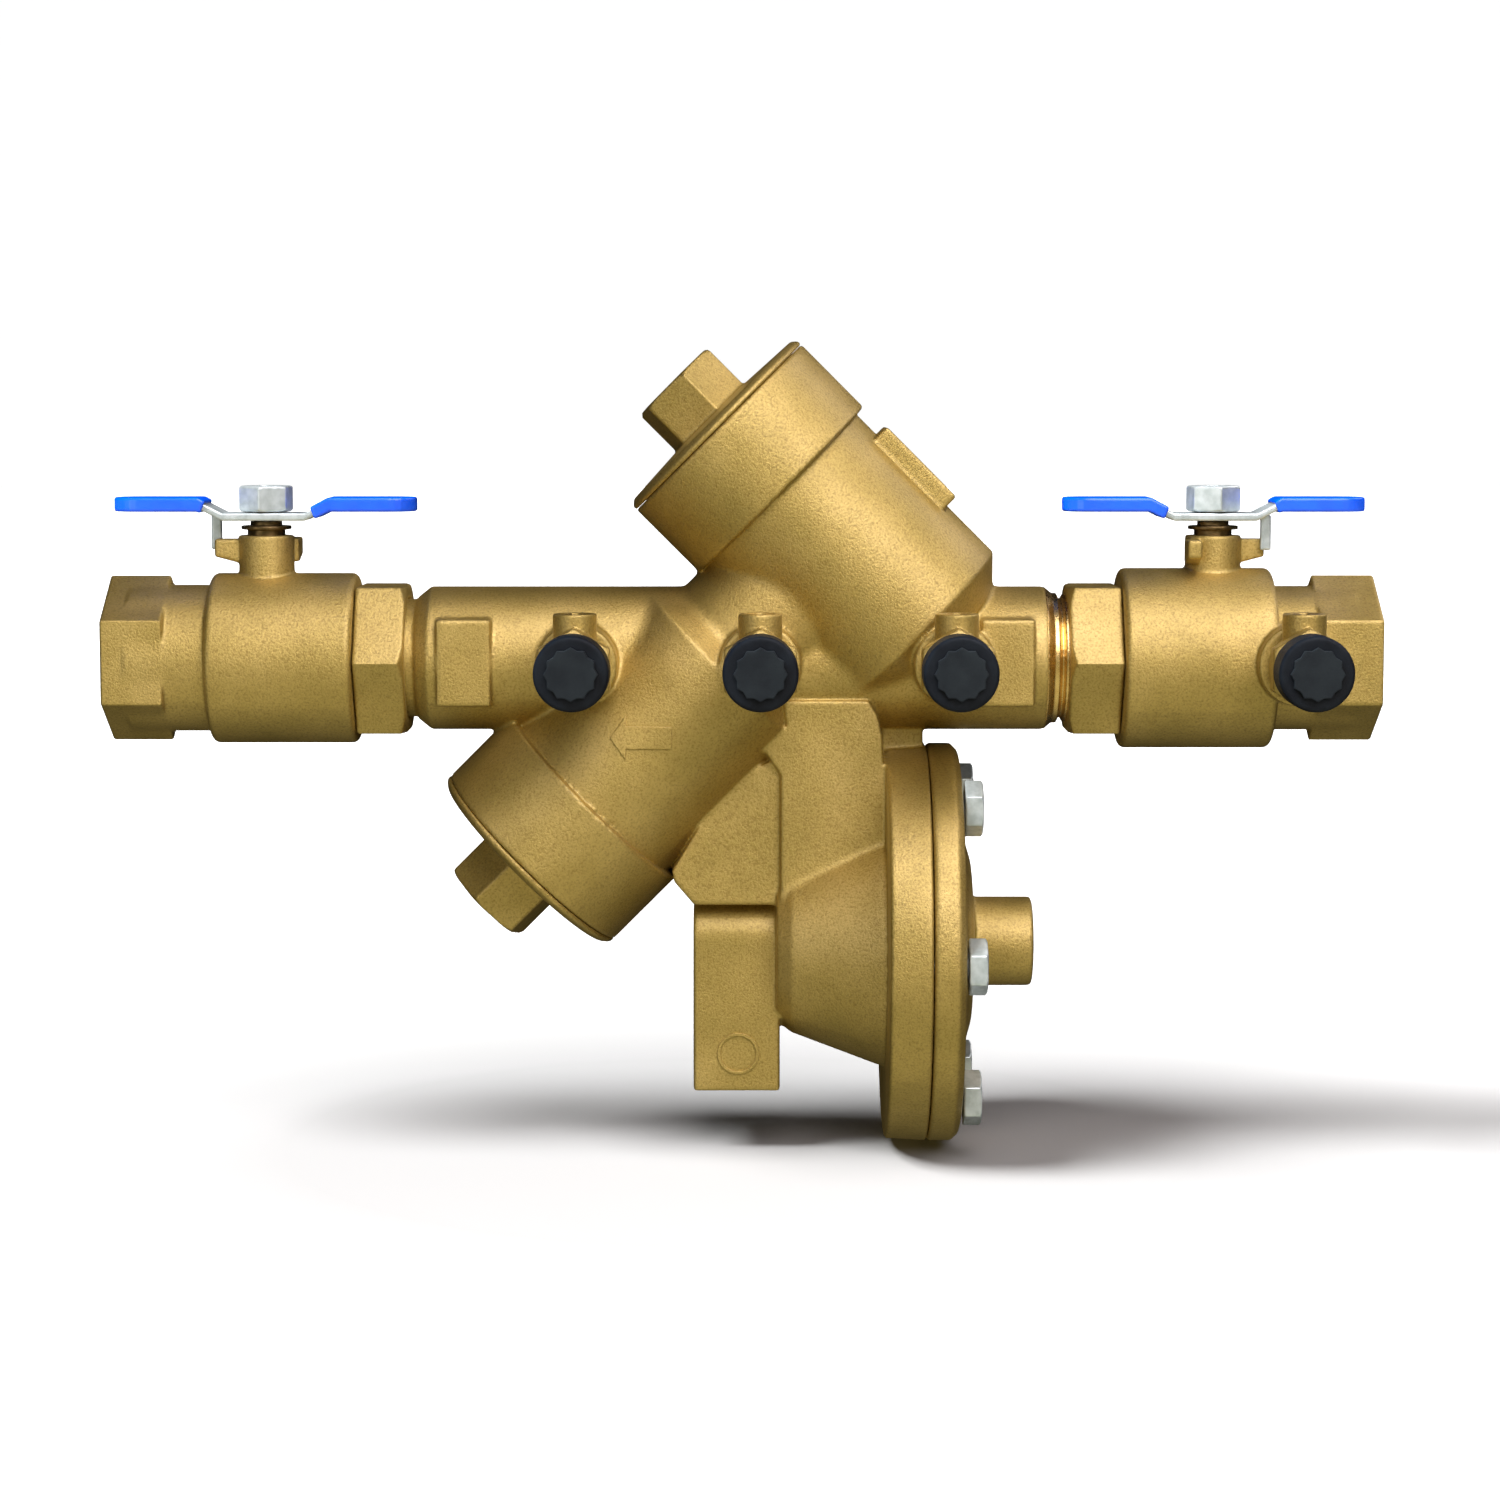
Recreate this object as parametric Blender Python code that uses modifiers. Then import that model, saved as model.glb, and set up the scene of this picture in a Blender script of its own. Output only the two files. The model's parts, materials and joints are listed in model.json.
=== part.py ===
"""Reduced-pressure backflow preventer, 1 inch size, with its two shut-off valves.

Water runs from the inlet (+X end) through the inlet ball valve, check 1, the zone, check 2 and the
outlet ball valve to the outlet (-X end). A diaphragm relief valve hangs under the zone and drains it
through the vent. Four test cocks point forwards (-Y).

Dimensions are millimetres, measured from the centre of the assembly on the pipe axis; MM turns them
into metres. The empty called assembly puts the inlet face at the world origin.
"""

import math

import bmesh
import bpy
from mathutils import Matrix, Vector

MM = 0.001
GAP = 0.3
LENGTH = 330.0
INLET_X = LENGTH / 2

# Circles: segments on big, middling and small round shapes.
BIG = 20
MID = 14
SMALL = 10

# Pipe run
BORE_R = 12.7
PIPE_R = 18.7
SPIGOT_R = 15.4
SPIGOT_GRIP = 9.0
OUTLET_PIPE_END = -84.5
INLET_PIPE_END = 80.8
PIPE_CHAMFER = 3.0
PAD_FACE = 19.5
PAD_HALF_HEIGHT = 11.2

# Check valves: where the 45 degree axis starts, where the barrel starts and the collar's inner and outer ends
CHECKS = {
    "check_1": {"start": 54.1, "rise": 1, "barrel": 11.7, "collar": 62.2, "top": 85.0, "hex_end": 101.8},
    "check_2": {"start": -2.6, "rise": -1, "barrel": 2.9, "collar": 51.2, "top": 74.1, "hex_end": 91.7},
}
BARREL_R = 27.7
BARREL_CHAMFER = 7.0
COLLAR_R = 30.3
CHAMBER_R = 22.5
CHAMBER_FLOOR = 18.0
THROAT_R = 13.0
SEAT_POCKET_R = 17.3
SEAT_POCKET_FLOOR = 13.7
SEAT_FACE = 19.5
COVER_BORE_R = 26.7
COVER_BORE_DEPTH = 12.0
LIP_THICK = 2.2
COVER_HEX = 22.5
GUIDE_R = 4.0
GUIDE_CLEAR = 0.4
SPRING_WIRE = 1.8
DISC_THICK = 2.5
HOLDER_TOP = 3.4

# Zone between the checks, and the web under it
ZONE_X = -2.6
ZONE_R = 22.0
ZONE_LENGTH = 38.0
ZONE_CAVITY_R = 15.0
WEB_HALF_WIDTH = 17.5
LOW_WEB_HALF_WIDTH = 15.0
DUCT_R = 7.0

# Relief valve: its axis runs along X at this height
RELIEF_Z = -74.9
FLANGE_R = 52.3
FLANGE_BACK = 37.3
FLANGE_FACE = 48.1
COVER_FACE = 56.5
DOME_END = 60.7
NOZZLE_R = 11.7
NOZZLE_END = 76.2
DIAPHRAGM_R = 38.7
DIAPHRAGM_SEAT = 46.8
RELIEF_BORE_R = 34.0
SPRING_LEDGE = 29.0
RELIEF_SEAT_FACE = 16.0
RELIEF_SEAT_FLOOR = 10.0
RELIEF_SPRING_WIRE = 2.0
PLATE_THICK = 2.4
COVER_INSIDE = 53.0
RELIEF_TRAVEL = 6.0
BOLT_COUNT = 6
BOLT_CIRCLE_R = 43.5
BOLT_R = 3.0
BOLT_HEX = 12.7
BOLT_HEAD = 4.7
SENSING_R = 2.0
SENSING_X = 44.0
SENSING_Z = -31.0

# Vent column
VENT_LOW_X = -12.65
VENT_HIGH_X = 9.87
VENT_HALF_WIDTH = 13.0
VENT_BOTTOM = -112.6
VENT_TOP = -62.0
VENT_WALL = 3.3

# Shut-off valves, each in its own frame: ball at the origin, +X towards the open pipe end, +Z up
VALVES = {
    "inlet": {"x": 122.9, "turn": 0.0, "body_r": 23.5, "neck_r": 18.8, "hex_in": 25.6, "neck_in": 14.9,
              "body_in": -24.5, "adapter_in": -38.4, "nut_spin": 10.0},
    "outlet": {"x": -124.1, "turn": math.pi, "body_r": 22.2, "neck_r": 19.1, "hex_in": 24.9, "neck_in": 14.0,
               "body_in": -23.9, "adapter_in": -37.2, "nut_spin": 52.0},
}
END_HEX = 37.5
ADAPTER_HEX = 38.0
SOCKET_R = 15.6
SOCKET_DEPTH = 17.0
BALL_R = 17.0
BALL_CAVITY_R = 18.0
BALL_CAVITY_END = 13.5
SEAT_NEAR = 8.5
BOSS_R = 7.2
BOSS_TOP = 32.1
STEM_R = 3.2
STEM_FOOT_R = 6.0
STEM_TOP = 44.5
GLAND_R = 6.5
GLAND_SHANK_R = 4.9
STRAP_LOW = 36.0
STRAP_THICK = 2.0
STRAP_HALF_WIDTH = 6.5
STRAP_REACH = 38.7
STRAP_RISE = 3.2
SLANT_IN = 10.7
SLANT_OUT = 17.0
SLEEVE_WALL = 0.65
SLEEVE_CLEAR = 0.2
SLEEVE_IN = {"right": 15.4, "left": 12.5}
HANDLE_NUT_HEX = 12.6
STOP_REACH = 13.3

# Test cocks, along -Y from the pipe axis
TESTCOCKS = {"testcock_1": 142.0, "testcock_2": 54.3, "testcock_3": 4.7, "testcock_4": -42.1}
COCK_BOSS_R = 10.4
COCK_BOSS_END = 28.0
COCK_POCKET_FLOOR = 17.0
COCK_SHANK_R = 4.5
COCK_BARREL_R = 8.3
COCK_WATERWAY_R = 2.4
COCK_STUB_AT = 34.2
COCK_STUB_R = 5.55
COCK_STUB_TOP = 13.7
COCK_STEM_R = 3.3
COCK_HEX = 18.3
COCK_HEX_NEAR = 38.5
COCK_HEX_FAR = 44.7
COCK_NOSE_R = 6.2
COCK_NOSE_END = 53.0
CAP_R = 9.45
CAP_FACE = 56.6
KNOB_FACE = 58.0
KNOB_POINTS = 12
KNOB_TIP_R = 6.7
KNOB_ROOT_R = 6.1

# Material name: colour, roughness, metallic
MATERIALS = {
    "cast_brass": ((0.66, 0.55, 0.27), 0.45, 1.0),
    "machined_brass": ((0.78, 0.66, 0.36), 0.28, 1.0),
    "plated_steel": ((0.80, 0.81, 0.80), 0.35, 1.0),
    "stainless_steel": ((0.62, 0.62, 0.60), 0.25, 1.0),
    "blue_vinyl": ((0.0, 0.11, 0.83), 0.40, 0.0),
    "black_plastic": ((0.012, 0.015, 0.020), 0.45, 0.0),
    "black_rubber": ((0.02, 0.02, 0.02), 0.70, 0.0),
    "white_plastic": ((0.82, 0.82, 0.78), 0.50, 0.0),
}


def clear_scene():
    for old in list(bpy.data.objects):
        bpy.data.objects.remove(old, do_unlink=True)


def new_collection(name):
    collection = bpy.data.collections.new(name)
    bpy.context.scene.collection.children.link(collection)
    return collection


def make_materials():
    made = {}
    for name, (colour, roughness, metallic) in MATERIALS.items():
        material = bpy.data.materials.new(name)
        material.use_nodes = True
        shader = material.node_tree.nodes["Principled BSDF"]
        shader.inputs["Base Color"].default_value = (*colour, 1.0)
        shader.inputs["Roughness"].default_value = roughness
        shader.inputs["Metallic"].default_value = metallic
        made[name] = material
    return made


clear_scene()
PARTS = new_collection("backflow_preventer")
CUTTERS = new_collection("cutters")
MATERIAL = make_materials()
ASSEMBLY = bpy.data.objects.new("assembly", None)
ASSEMBLY.location = (-INLET_X * MM, 0.0, 0.0)
PARTS.objects.link(ASSEMBLY)


# ---------------------------------------------------------------- frames

def frame_along(origin, direction, reference):
    """A frame whose Z runs along direction and whose X lies on the side of reference."""
    z_axis = Vector(direction).normalized()
    reference = Vector(reference)
    x_axis = (reference - z_axis * reference.dot(z_axis)).normalized()
    y_axis = z_axis.cross(x_axis)
    turn = Matrix((x_axis, y_axis, z_axis)).transposed().to_4x4()
    return Matrix.Translation(Vector(origin) * MM) @ turn


UPRIGHT = Matrix.Identity(4)
PIPE = frame_along((0, 0, 0), (1, 0, 0), (0, 0, 1))
RELIEF = frame_along((0, 0, RELIEF_Z), (1, 0, 0), (0, 0, 1))
FRONT_VIEW = frame_along((0, 0, 0), (0, -1, 0), (1, 0, 0))


def check_frame(check):
    start, rise = CHECKS[check]["start"], CHECKS[check]["rise"]
    return frame_along((start, 0, 0), (-1, 0, rise), (1, 0, rise))


def valve_frame(side):
    valve = VALVES[side]
    return Matrix.Translation((valve["x"] * MM, 0, 0)) @ Matrix.Rotation(valve["turn"], 4, "Z")


def valve_pipe_frame(side):
    """The valve's frame turned so that Z runs along its pipe, towards the open end."""
    return valve_frame(side) @ PIPE


def cock_frame(cock):
    return frame_along((TESTCOCKS[cock], 0, 0), (0, -1, 0), (0, 0, 1))


# ---------------------------------------------------------------- shapes

def place(obj, frame, material=None):
    collection = PARTS if material else CUTTERS
    collection.objects.link(obj)
    obj.parent = ASSEMBLY
    obj.matrix_basis = frame
    if material:
        obj.data.materials.append(MATERIAL[material])
    else:
        obj.hide_render = True
        obj.display_type = "WIRE"
    return obj


def turned(name, profile, frame, steps=MID, material=None):
    """Screw a profile of (radius, height) points, outer side downwards, about the frame's Z."""
    closed = min(profile[0][0], profile[-1][0]) > 0.001
    edges = [(i, i + 1) for i in range(len(profile) - 1)]
    if closed:
        edges.append((len(profile) - 1, 0))
    mesh = bpy.data.meshes.new(name)
    mesh.from_pydata([(r * MM, 0.0, z * MM) for r, z in profile], edges, [])
    obj = place(bpy.data.objects.new(name, mesh), frame, material)
    screw = obj.modifiers.new("turn", "SCREW")
    screw.axis = "Z"
    screw.steps = steps
    screw.render_steps = steps
    screw.use_merge_vertices = True
    screw.merge_threshold = 0.00001
    screw.use_smooth_shade = False
    return obj


def rod(name, radius, low, high, frame, steps=MID, material=None):
    return turned(name, [(0, high), (radius, high), (radius, low), (0, low)], frame, steps, material)


def tube(name, outer, inner, low, high, frame, steps=MID, material=None):
    return turned(name, [(outer, high), (outer, low), (inner, low), (inner, high)], frame, steps, material)


def prism(name, flats, low, high, frame, spin=0.0, material=None):
    """A hexagonal prism; spin 0 puts a flat towards the frame's +X."""
    mesh = bpy.data.meshes.new(name)
    shape = bmesh.new()
    radius = flats / 2 / math.cos(math.pi / 6) * MM
    move = Matrix.Translation((0, 0, (low + high) / 2 * MM)) @ Matrix.Rotation(spin, 4, "Z")
    bmesh.ops.create_cone(shape, cap_ends=True, segments=6, radius1=radius, radius2=radius,
                          depth=(high - low) * MM, matrix=move)
    shape.to_mesh(mesh)
    shape.free()
    return place(bpy.data.objects.new(name, mesh), frame, material)


def box(name, low, high, frame=UPRIGHT, material=None):
    mesh = bpy.data.meshes.new(name)
    shape = bmesh.new()
    low, high = Vector(low) * MM, Vector(high) * MM
    size = Matrix.Diagonal((*(high - low), 1.0))
    bmesh.ops.create_cube(shape, size=1.0, matrix=Matrix.Translation((low + high) / 2) @ size)
    shape.to_mesh(mesh)
    shape.free()
    return place(bpy.data.objects.new(name, mesh), frame, material)


def plate(name, outline, half_thickness, frame, material=None):
    """A flat outline in the frame's XY plane, filled and made solid on both sides of it."""
    curve = bpy.data.curves.new(name + "_outline", "CURVE")
    curve.dimensions = "2D"
    curve.fill_mode = "BOTH"
    curve.extrude = half_thickness * MM
    spline = curve.splines.new("POLY")
    spline.points.add(len(outline) - 1)
    for point, (x, y) in zip(spline.points, outline):
        point.co = (x * MM, y * MM, 0.0, 1.0)
    spline.use_cyclic_u = True
    guide = bpy.data.objects.new(name + "_outline", curve)
    CUTTERS.objects.link(guide)
    mesh = bpy.data.meshes.new_from_object(guide.evaluated_get(bpy.context.evaluated_depsgraph_get()))
    bpy.data.objects.remove(guide, do_unlink=True)
    shape = bmesh.new()
    shape.from_mesh(mesh)
    bmesh.ops.remove_doubles(shape, verts=shape.verts, dist=0.00001)
    bmesh.ops.recalc_face_normals(shape, faces=shape.faces)
    shape.to_mesh(mesh)
    shape.free()
    return place(bpy.data.objects.new(name, mesh), frame, material)


def coil(name, radius, wire, low, high, turns, frame, material):
    """A compression spring whose wire centre rises from low to high about the frame's Z."""
    points_a_turn = 8
    count = turns * points_a_turn + 1
    curve = bpy.data.curves.new(name, "CURVE")
    curve.dimensions = "3D"
    curve.bevel_depth = wire / 2 * MM
    curve.bevel_resolution = 2
    curve.use_fill_caps = True
    spline = curve.splines.new("POLY")
    spline.points.add(count - 1)
    for i, point in enumerate(spline.points):
        angle = 2 * math.pi * i / points_a_turn
        height = low + (high - low) * i / (count - 1)
        point.co = (radius * math.cos(angle) * MM, radius * math.sin(angle) * MM, height * MM, 1.0)
    return place(bpy.data.objects.new(name, curve), frame, material)


def arc(centre, radius, start, end, count):
    """Points (x, y) on a circle from angle start to angle end, in degrees."""
    angles = [math.radians(start + (end - start) * i / (count - 1)) for i in range(count)]
    return [(centre[0] + radius * math.cos(a), centre[1] + radius * math.sin(a)) for a in angles]


def combine(target, tools, operation):
    """One Boolean of target with all the tools together."""
    name = target.name + "_" + operation.lower()
    group = bpy.data.collections.new(name)
    CUTTERS.children.link(group)
    for tool in tools:
        CUTTERS.objects.unlink(tool)
        group.objects.link(tool)
    boolean = target.modifiers.new(name, "BOOLEAN")
    boolean.operation = operation
    boolean.solver = "EXACT"
    boolean.operand_type = "COLLECTION"
    boolean.collection = group


def add(target, *tools):
    combine(target, tools, "UNION")


def cut(target, *tools):
    combine(target, tools, "DIFFERENCE")


# ---------------------------------------------------------------- main casting

def spigot_end(side):
    """Where the casting's spigot ends inside the adapter of that side's valve."""
    valve = VALVES[side]
    grip = valve["adapter_in"] + SPIGOT_GRIP
    return valve["x"] + (grip if side == "inlet" else -grip)


def pipe_shells():
    inlet_end, outlet_end = spigot_end("inlet"), spigot_end("outlet")
    inlet = [(0, inlet_end), (SPIGOT_R, inlet_end), (SPIGOT_R, INLET_PIPE_END),
             (PIPE_R - PIPE_CHAMFER, INLET_PIPE_END), (PIPE_R, INLET_PIPE_END - PIPE_CHAMFER),
             (PIPE_R, 0.0), (0, 0.0)]
    outlet = [(0, -4.0), (PIPE_R, -4.0), (PIPE_R, OUTLET_PIPE_END + PIPE_CHAMFER),
              (PIPE_R - PIPE_CHAMFER, OUTLET_PIPE_END), (SPIGOT_R, OUTLET_PIPE_END),
              (SPIGOT_R, outlet_end), (0, outlet_end)]
    return turned("inlet_pipe_shell", inlet, PIPE, BIG), turned("outlet_pipe_shell", outlet, PIPE, BIG)


def barrel_shell(check):
    size = CHECKS[check]
    low = size["barrel"]
    profile = [(0, size["top"]), (COLLAR_R, size["top"]), (COLLAR_R, size["collar"]),
               (BARREL_R, size["collar"]), (BARREL_R, low),
               (BARREL_R - BARREL_CHAMFER, low - BARREL_CHAMFER), (0, low - BARREL_CHAMFER)]
    return turned(check + "_barrel_shell", profile, check_frame(check), BIG)


def web_shells():
    web = [(10.0, -62.0), (36.6, -62.0), (36.6, -24.7), (36.2, -18.9), (35.0, -13.8), (32.6, -9.8),
           (10.5, -9.8), (11.6, -16.4), (5.6, -22.5), (10.0, -29.0)]
    low_web = [(11.0, -63.3), (11.0, -24.0), (-4.0, -31.0), (-18.1, -54.4), (-17.6, -57.2), (-12.4, -63.3)]
    return (plate("web_shell", web, WEB_HALF_WIDTH, FRONT_VIEW),
            plate("low_web_shell", low_web, LOW_WEB_HALF_WIDTH, FRONT_VIEW))


def relief_shell():
    profile = [(0, FLANGE_FACE), (FLANGE_R, FLANGE_FACE), (FLANGE_R - 0.6, FLANGE_BACK),
               (32.6, FLANGE_BACK - 0.6), (32.4, 35.3), (24.0, 12.9), (21.0, 9.0), (0, 9.0)]
    return turned("relief_shell", profile, RELIEF, BIG + 8)


def wrench_pads():
    pads = []
    for name, low, high in (("outlet_pad", -78.5, -64.6), ("inlet_pad", 61.5, 75.2)):
        pads.append(box(name, (low, -PAD_FACE, -PAD_HALF_HEIGHT), (high, PAD_FACE, PAD_HALF_HEIGHT)))
    pads.append(box("barrel_pad", (20.0, -10.3, 29.0), (30.9, 10.3, 54.5), check_frame("check_1")))
    return pads


def casting_cavities():
    zone_frame = Matrix.Translation((ZONE_X * MM, 0, 0))
    cavities = [
        rod("inlet_bore", BORE_R, 52.0, 100.0, PIPE),
        rod("outlet_bore", BORE_R, -100.0, -26.5, PIPE),
        turned("zone_cavity", arc((0, 0), ZONE_CAVITY_R, 90, -90, 9), zone_frame),
        rod("zone_passage", 10.0, 0.0, 25.0, frame_along((0, 0, 2), (22, 0, 12), (0, 1, 0))),
        rod("relief_duct", DUCT_R, 0.0, 60.0, frame_along((6, 0, -2), (18, 0, -58), (0, 1, 0)), SMALL),
    ]
    for check, size in CHECKS.items():
        top = size["top"]
        profile = [(0, top + 5), (COVER_BORE_R, top + 5), (COVER_BORE_R, top - COVER_BORE_DEPTH),
                   (CHAMBER_R, top - COVER_BORE_DEPTH), (CHAMBER_R, CHAMBER_FLOOR),
                   (SEAT_POCKET_R, CHAMBER_FLOOR), (SEAT_POCKET_R, SEAT_POCKET_FLOOR),
                   (THROAT_R, SEAT_POCKET_FLOOR), (THROAT_R, -2.0), (0, -2.0)]
        cavities.append(turned(check + "_cavity", profile, check_frame(check), BIG))
    return cavities


def relief_cavities():
    rim_r = DIAPHRAGM_R + GAP
    chamber = [(0, FLANGE_FACE + 5), (rim_r, FLANGE_FACE + 5), (rim_r, DIAPHRAGM_SEAT),
               (RELIEF_BORE_R, DIAPHRAGM_SEAT), (RELIEF_BORE_R, 40.0), (27.0, 40.0), (27.0, SPRING_LEDGE),
               (20.0, SPRING_LEDGE), (20.0, 15.0), (13.3, 15.0), (13.3, RELIEF_SEAT_FLOOR),
               (10.0, RELIEF_SEAT_FLOOR), (10.0, 0.0), (0, 0.0)]
    vent_low = (VENT_LOW_X + VENT_WALL, -VENT_HALF_WIDTH + VENT_WALL, VENT_BOTTOM - 5)
    vent_high = (VENT_HIGH_X - VENT_WALL, VENT_HALF_WIDTH - VENT_WALL, VENT_TOP - 4)
    cavities = [turned("relief_chamber", chamber, RELIEF, BIG), box("vent_cavity", vent_low, vent_high)]
    for i in range(BOLT_COUNT):
        name = "bolt_hole_" + str(i + 1)
        cavities.append(rod(name, BOLT_R + GAP, 40.0, FLANGE_FACE + 5, bolt_frame(i), 8))
    down = frame_along((SENSING_X, 0, -8), (0, 0, -1), (1, 0, 0))
    along = frame_along((SENSING_X, 0, SENSING_Z), (1, 0, 0), (0, 0, 1))
    cavities.append(rod("sensing_drop", SENSING_R, 0.0, 24.5, down, 8))
    cavities.append(rod("sensing_cross", SENSING_R - 0.1, 0.0, 8.0, along, 8))
    return cavities


def bolt_frame(index):
    """Bolts start at the front (-Y) and leave the top and the bottom free."""
    angle = 2 * math.pi * index / BOLT_COUNT
    centre = (0, -BOLT_CIRCLE_R * math.cos(angle), RELIEF_Z + BOLT_CIRCLE_R * math.sin(angle))
    return frame_along(centre, (1, 0, 0), (0, 0, 1))


def cock_tapping(cock):
    """The tapped pocket for a test cock's shank and the drilling behind it."""
    pocket_r = COCK_SHANK_R + GAP
    profile = [(0, COCK_BOSS_END + 5), (pocket_r, COCK_BOSS_END + 5), (pocket_r, COCK_POCKET_FLOOR),
               (COCK_WATERWAY_R, COCK_POCKET_FLOOR), (COCK_WATERWAY_R, 7.0), (0, 7.0)]
    return turned(cock + "_tapping", profile, cock_frame(cock), SMALL)


def make_main_casting():
    # The casting grows from the neck round the zone, which runs back from barrel 2 into barrel 1.
    casting = rod("main_casting", ZONE_R, -ZONE_LENGTH, 3.0, check_frame("check_2"), BIG, "cast_brass")
    shells = [*pipe_shells(), *web_shells(), relief_shell(), *wrench_pads()]
    shells += [barrel_shell(check) for check in CHECKS]
    vent_low = (VENT_LOW_X, -VENT_HALF_WIDTH, VENT_BOTTOM)
    shells.append(box("vent_shell", vent_low, (VENT_HIGH_X, VENT_HALF_WIDTH, VENT_TOP)))
    shells.append(box("sensing_neck", (35.0, -6.0, -30.0), (47.2, 6.0, -12.0)))
    cavities = [*casting_cavities(), *relief_cavities()]
    for cock in TESTCOCKS:
        if cock != "testcock_1":
            shells.append(rod(cock + "_boss", COCK_BOSS_R, 8.0, COCK_BOSS_END, cock_frame(cock)))
            cavities.append(cock_tapping(cock))
    add(casting, *shells)
    cut(casting, *cavities)


# ---------------------------------------------------------------- check valves

def make_check_cover(check):
    frame, top = check_frame(check), CHECKS[check]["top"]
    seat, lip = top + GAP, top + GAP + LIP_THICK
    plug_r, guide_r = COVER_BORE_R - GAP, GUIDE_R + GUIDE_CLEAR
    floor = top - COVER_BORE_DEPTH + 0.5
    profile = [(0, lip + 1.0), (11.0, lip + 0.8), (COLLAR_R - 1.2, lip), (COLLAR_R, lip - 1.2),
               (COLLAR_R, seat), (plug_r, seat), (plug_r, top - 7.5), (24.2, top - 7.5), (24.2, floor),
               (8.0, floor), (8.0, top - 24.0), (guide_r, top - 24.0), (guide_r, top - 3.0), (0, top - 3.0)]
    cover = turned(check + "_cover", profile, frame, BIG, "cast_brass")
    hex_end, spin = CHECKS[check]["hex_end"], math.radians(14)
    add(cover, prism(check + "_cover_hex", COVER_HEX, top - 1.0, hex_end, frame, spin))


def make_check_seal(check):
    ring = arc((25.45, CHECKS[check]["top"] - 9.7), 0.95, 90, -210, 6)
    turned(check + "_cover_seal", ring, check_frame(check), BIG, "black_rubber")


def make_check_seat(check):
    outer, low = SEAT_POCKET_R - GAP, SEAT_POCKET_FLOOR + GAP
    profile = [(15.0, SEAT_FACE), (15.0, CHAMBER_FLOOR + 0.4), (outer, CHAMBER_FLOOR + 0.4), (outer, low),
               (BORE_R, low), (BORE_R, SEAT_FACE)]
    turned(check + "_seat", profile, check_frame(check), MID, "stainless_steel")


def make_check_poppet(check):
    """The disc holder with its guide stem, and the rubber disc held on its face."""
    frame, top = check_frame(check), CHECKS[check]["top"]
    disc_low, disc_high = SEAT_FACE + GAP, SEAT_FACE + GAP + DISC_THICK
    holder = disc_high + HOLDER_TOP
    profile = [(0, top - 12.0), (GUIDE_R, top - 12.0), (GUIDE_R, holder + 1.0), (10.5, holder + 1.0),
               (10.5, holder), (17.0, holder), (17.0, disc_high + GAP), (GUIDE_R, disc_high + GAP),
               (GUIDE_R, disc_low + 0.4), (0, disc_low + 0.4)]
    turned(check + "_poppet", profile, frame, MID, "white_plastic")
    tube(check + "_disc", 16.0, GUIDE_R + GAP, disc_low, disc_high, frame, MID, "black_rubber")


def make_check_spring(check):
    low = SEAT_FACE + GAP + DISC_THICK + HOLDER_TOP + GAP + SPRING_WIRE / 2
    high = CHECKS[check]["top"] - COVER_BORE_DEPTH + 0.5 - GAP - SPRING_WIRE / 2
    coil(check + "_spring", 12.4, SPRING_WIRE, low, high, 5, check_frame(check), "stainless_steel")


# ---------------------------------------------------------------- relief valve

def make_relief_cover():
    face = FLANGE_FACE + GAP
    guide_r = GUIDE_R + GUIDE_CLEAR
    profile = [(0, NOZZLE_END), (NOZZLE_R - 1.5, NOZZLE_END), (NOZZLE_R, NOZZLE_END - 1.5),
               (NOZZLE_R, DOME_END), (22.0, DOME_END - 0.5), (30.0, COVER_FACE + 0.4),
               (FLANGE_R - 2.0, COVER_FACE), (FLANGE_R, COVER_FACE - 2.0), (FLANGE_R, face),
               (RELIEF_BORE_R, face), (RELIEF_BORE_R, COVER_INSIDE), (guide_r, COVER_INSIDE), (guide_r, 70.0),
               (0, 70.0)]
    cover = turned("relief_cover", profile, RELIEF, BIG + 8, "cast_brass")
    holes = []
    for i in range(BOLT_COUNT):
        name = "cover_hole_" + str(i + 1)
        holes.append(rod(name, BOLT_R + GAP, face - 2, COVER_FACE + 5, bolt_frame(i), 8))
    along = frame_along((face - 2, 0, SENSING_Z), (1, 0, 0), (0, 0, 1))
    inwards = frame_along((51.3, 0, SENSING_Z + 1), (0, 0, -1), (1, 0, 0))
    holes.append(rod("cover_sensing_along", SENSING_R, 0.0, 5.0, along, 8))
    holes.append(rod("cover_sensing_inwards", SENSING_R - 0.1, 0.0, 14.0, inwards, 8))
    cut(cover, *holes)


def make_relief_diaphragm():
    """A flat rubber disc with one rolled fold between its clamped rim and its centre plates."""
    low, high = DIAPHRAGM_SEAT + GAP, FLANGE_FACE
    fold = [(30.5, high), (28.2, high - 2.2), (25.9, high)]
    under = [(24.8, low - 0.2), (28.2, low - 3.2), (31.6, low)]
    profile = [(DIAPHRAGM_R, high), (DIAPHRAGM_R, low)] + under[::-1]
    profile += [(GUIDE_R + GAP, low - 0.2), (GUIDE_R + GAP, high)] + fold[::-1]
    turned("relief_diaphragm", profile, RELIEF, BIG, "black_rubber")


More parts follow.
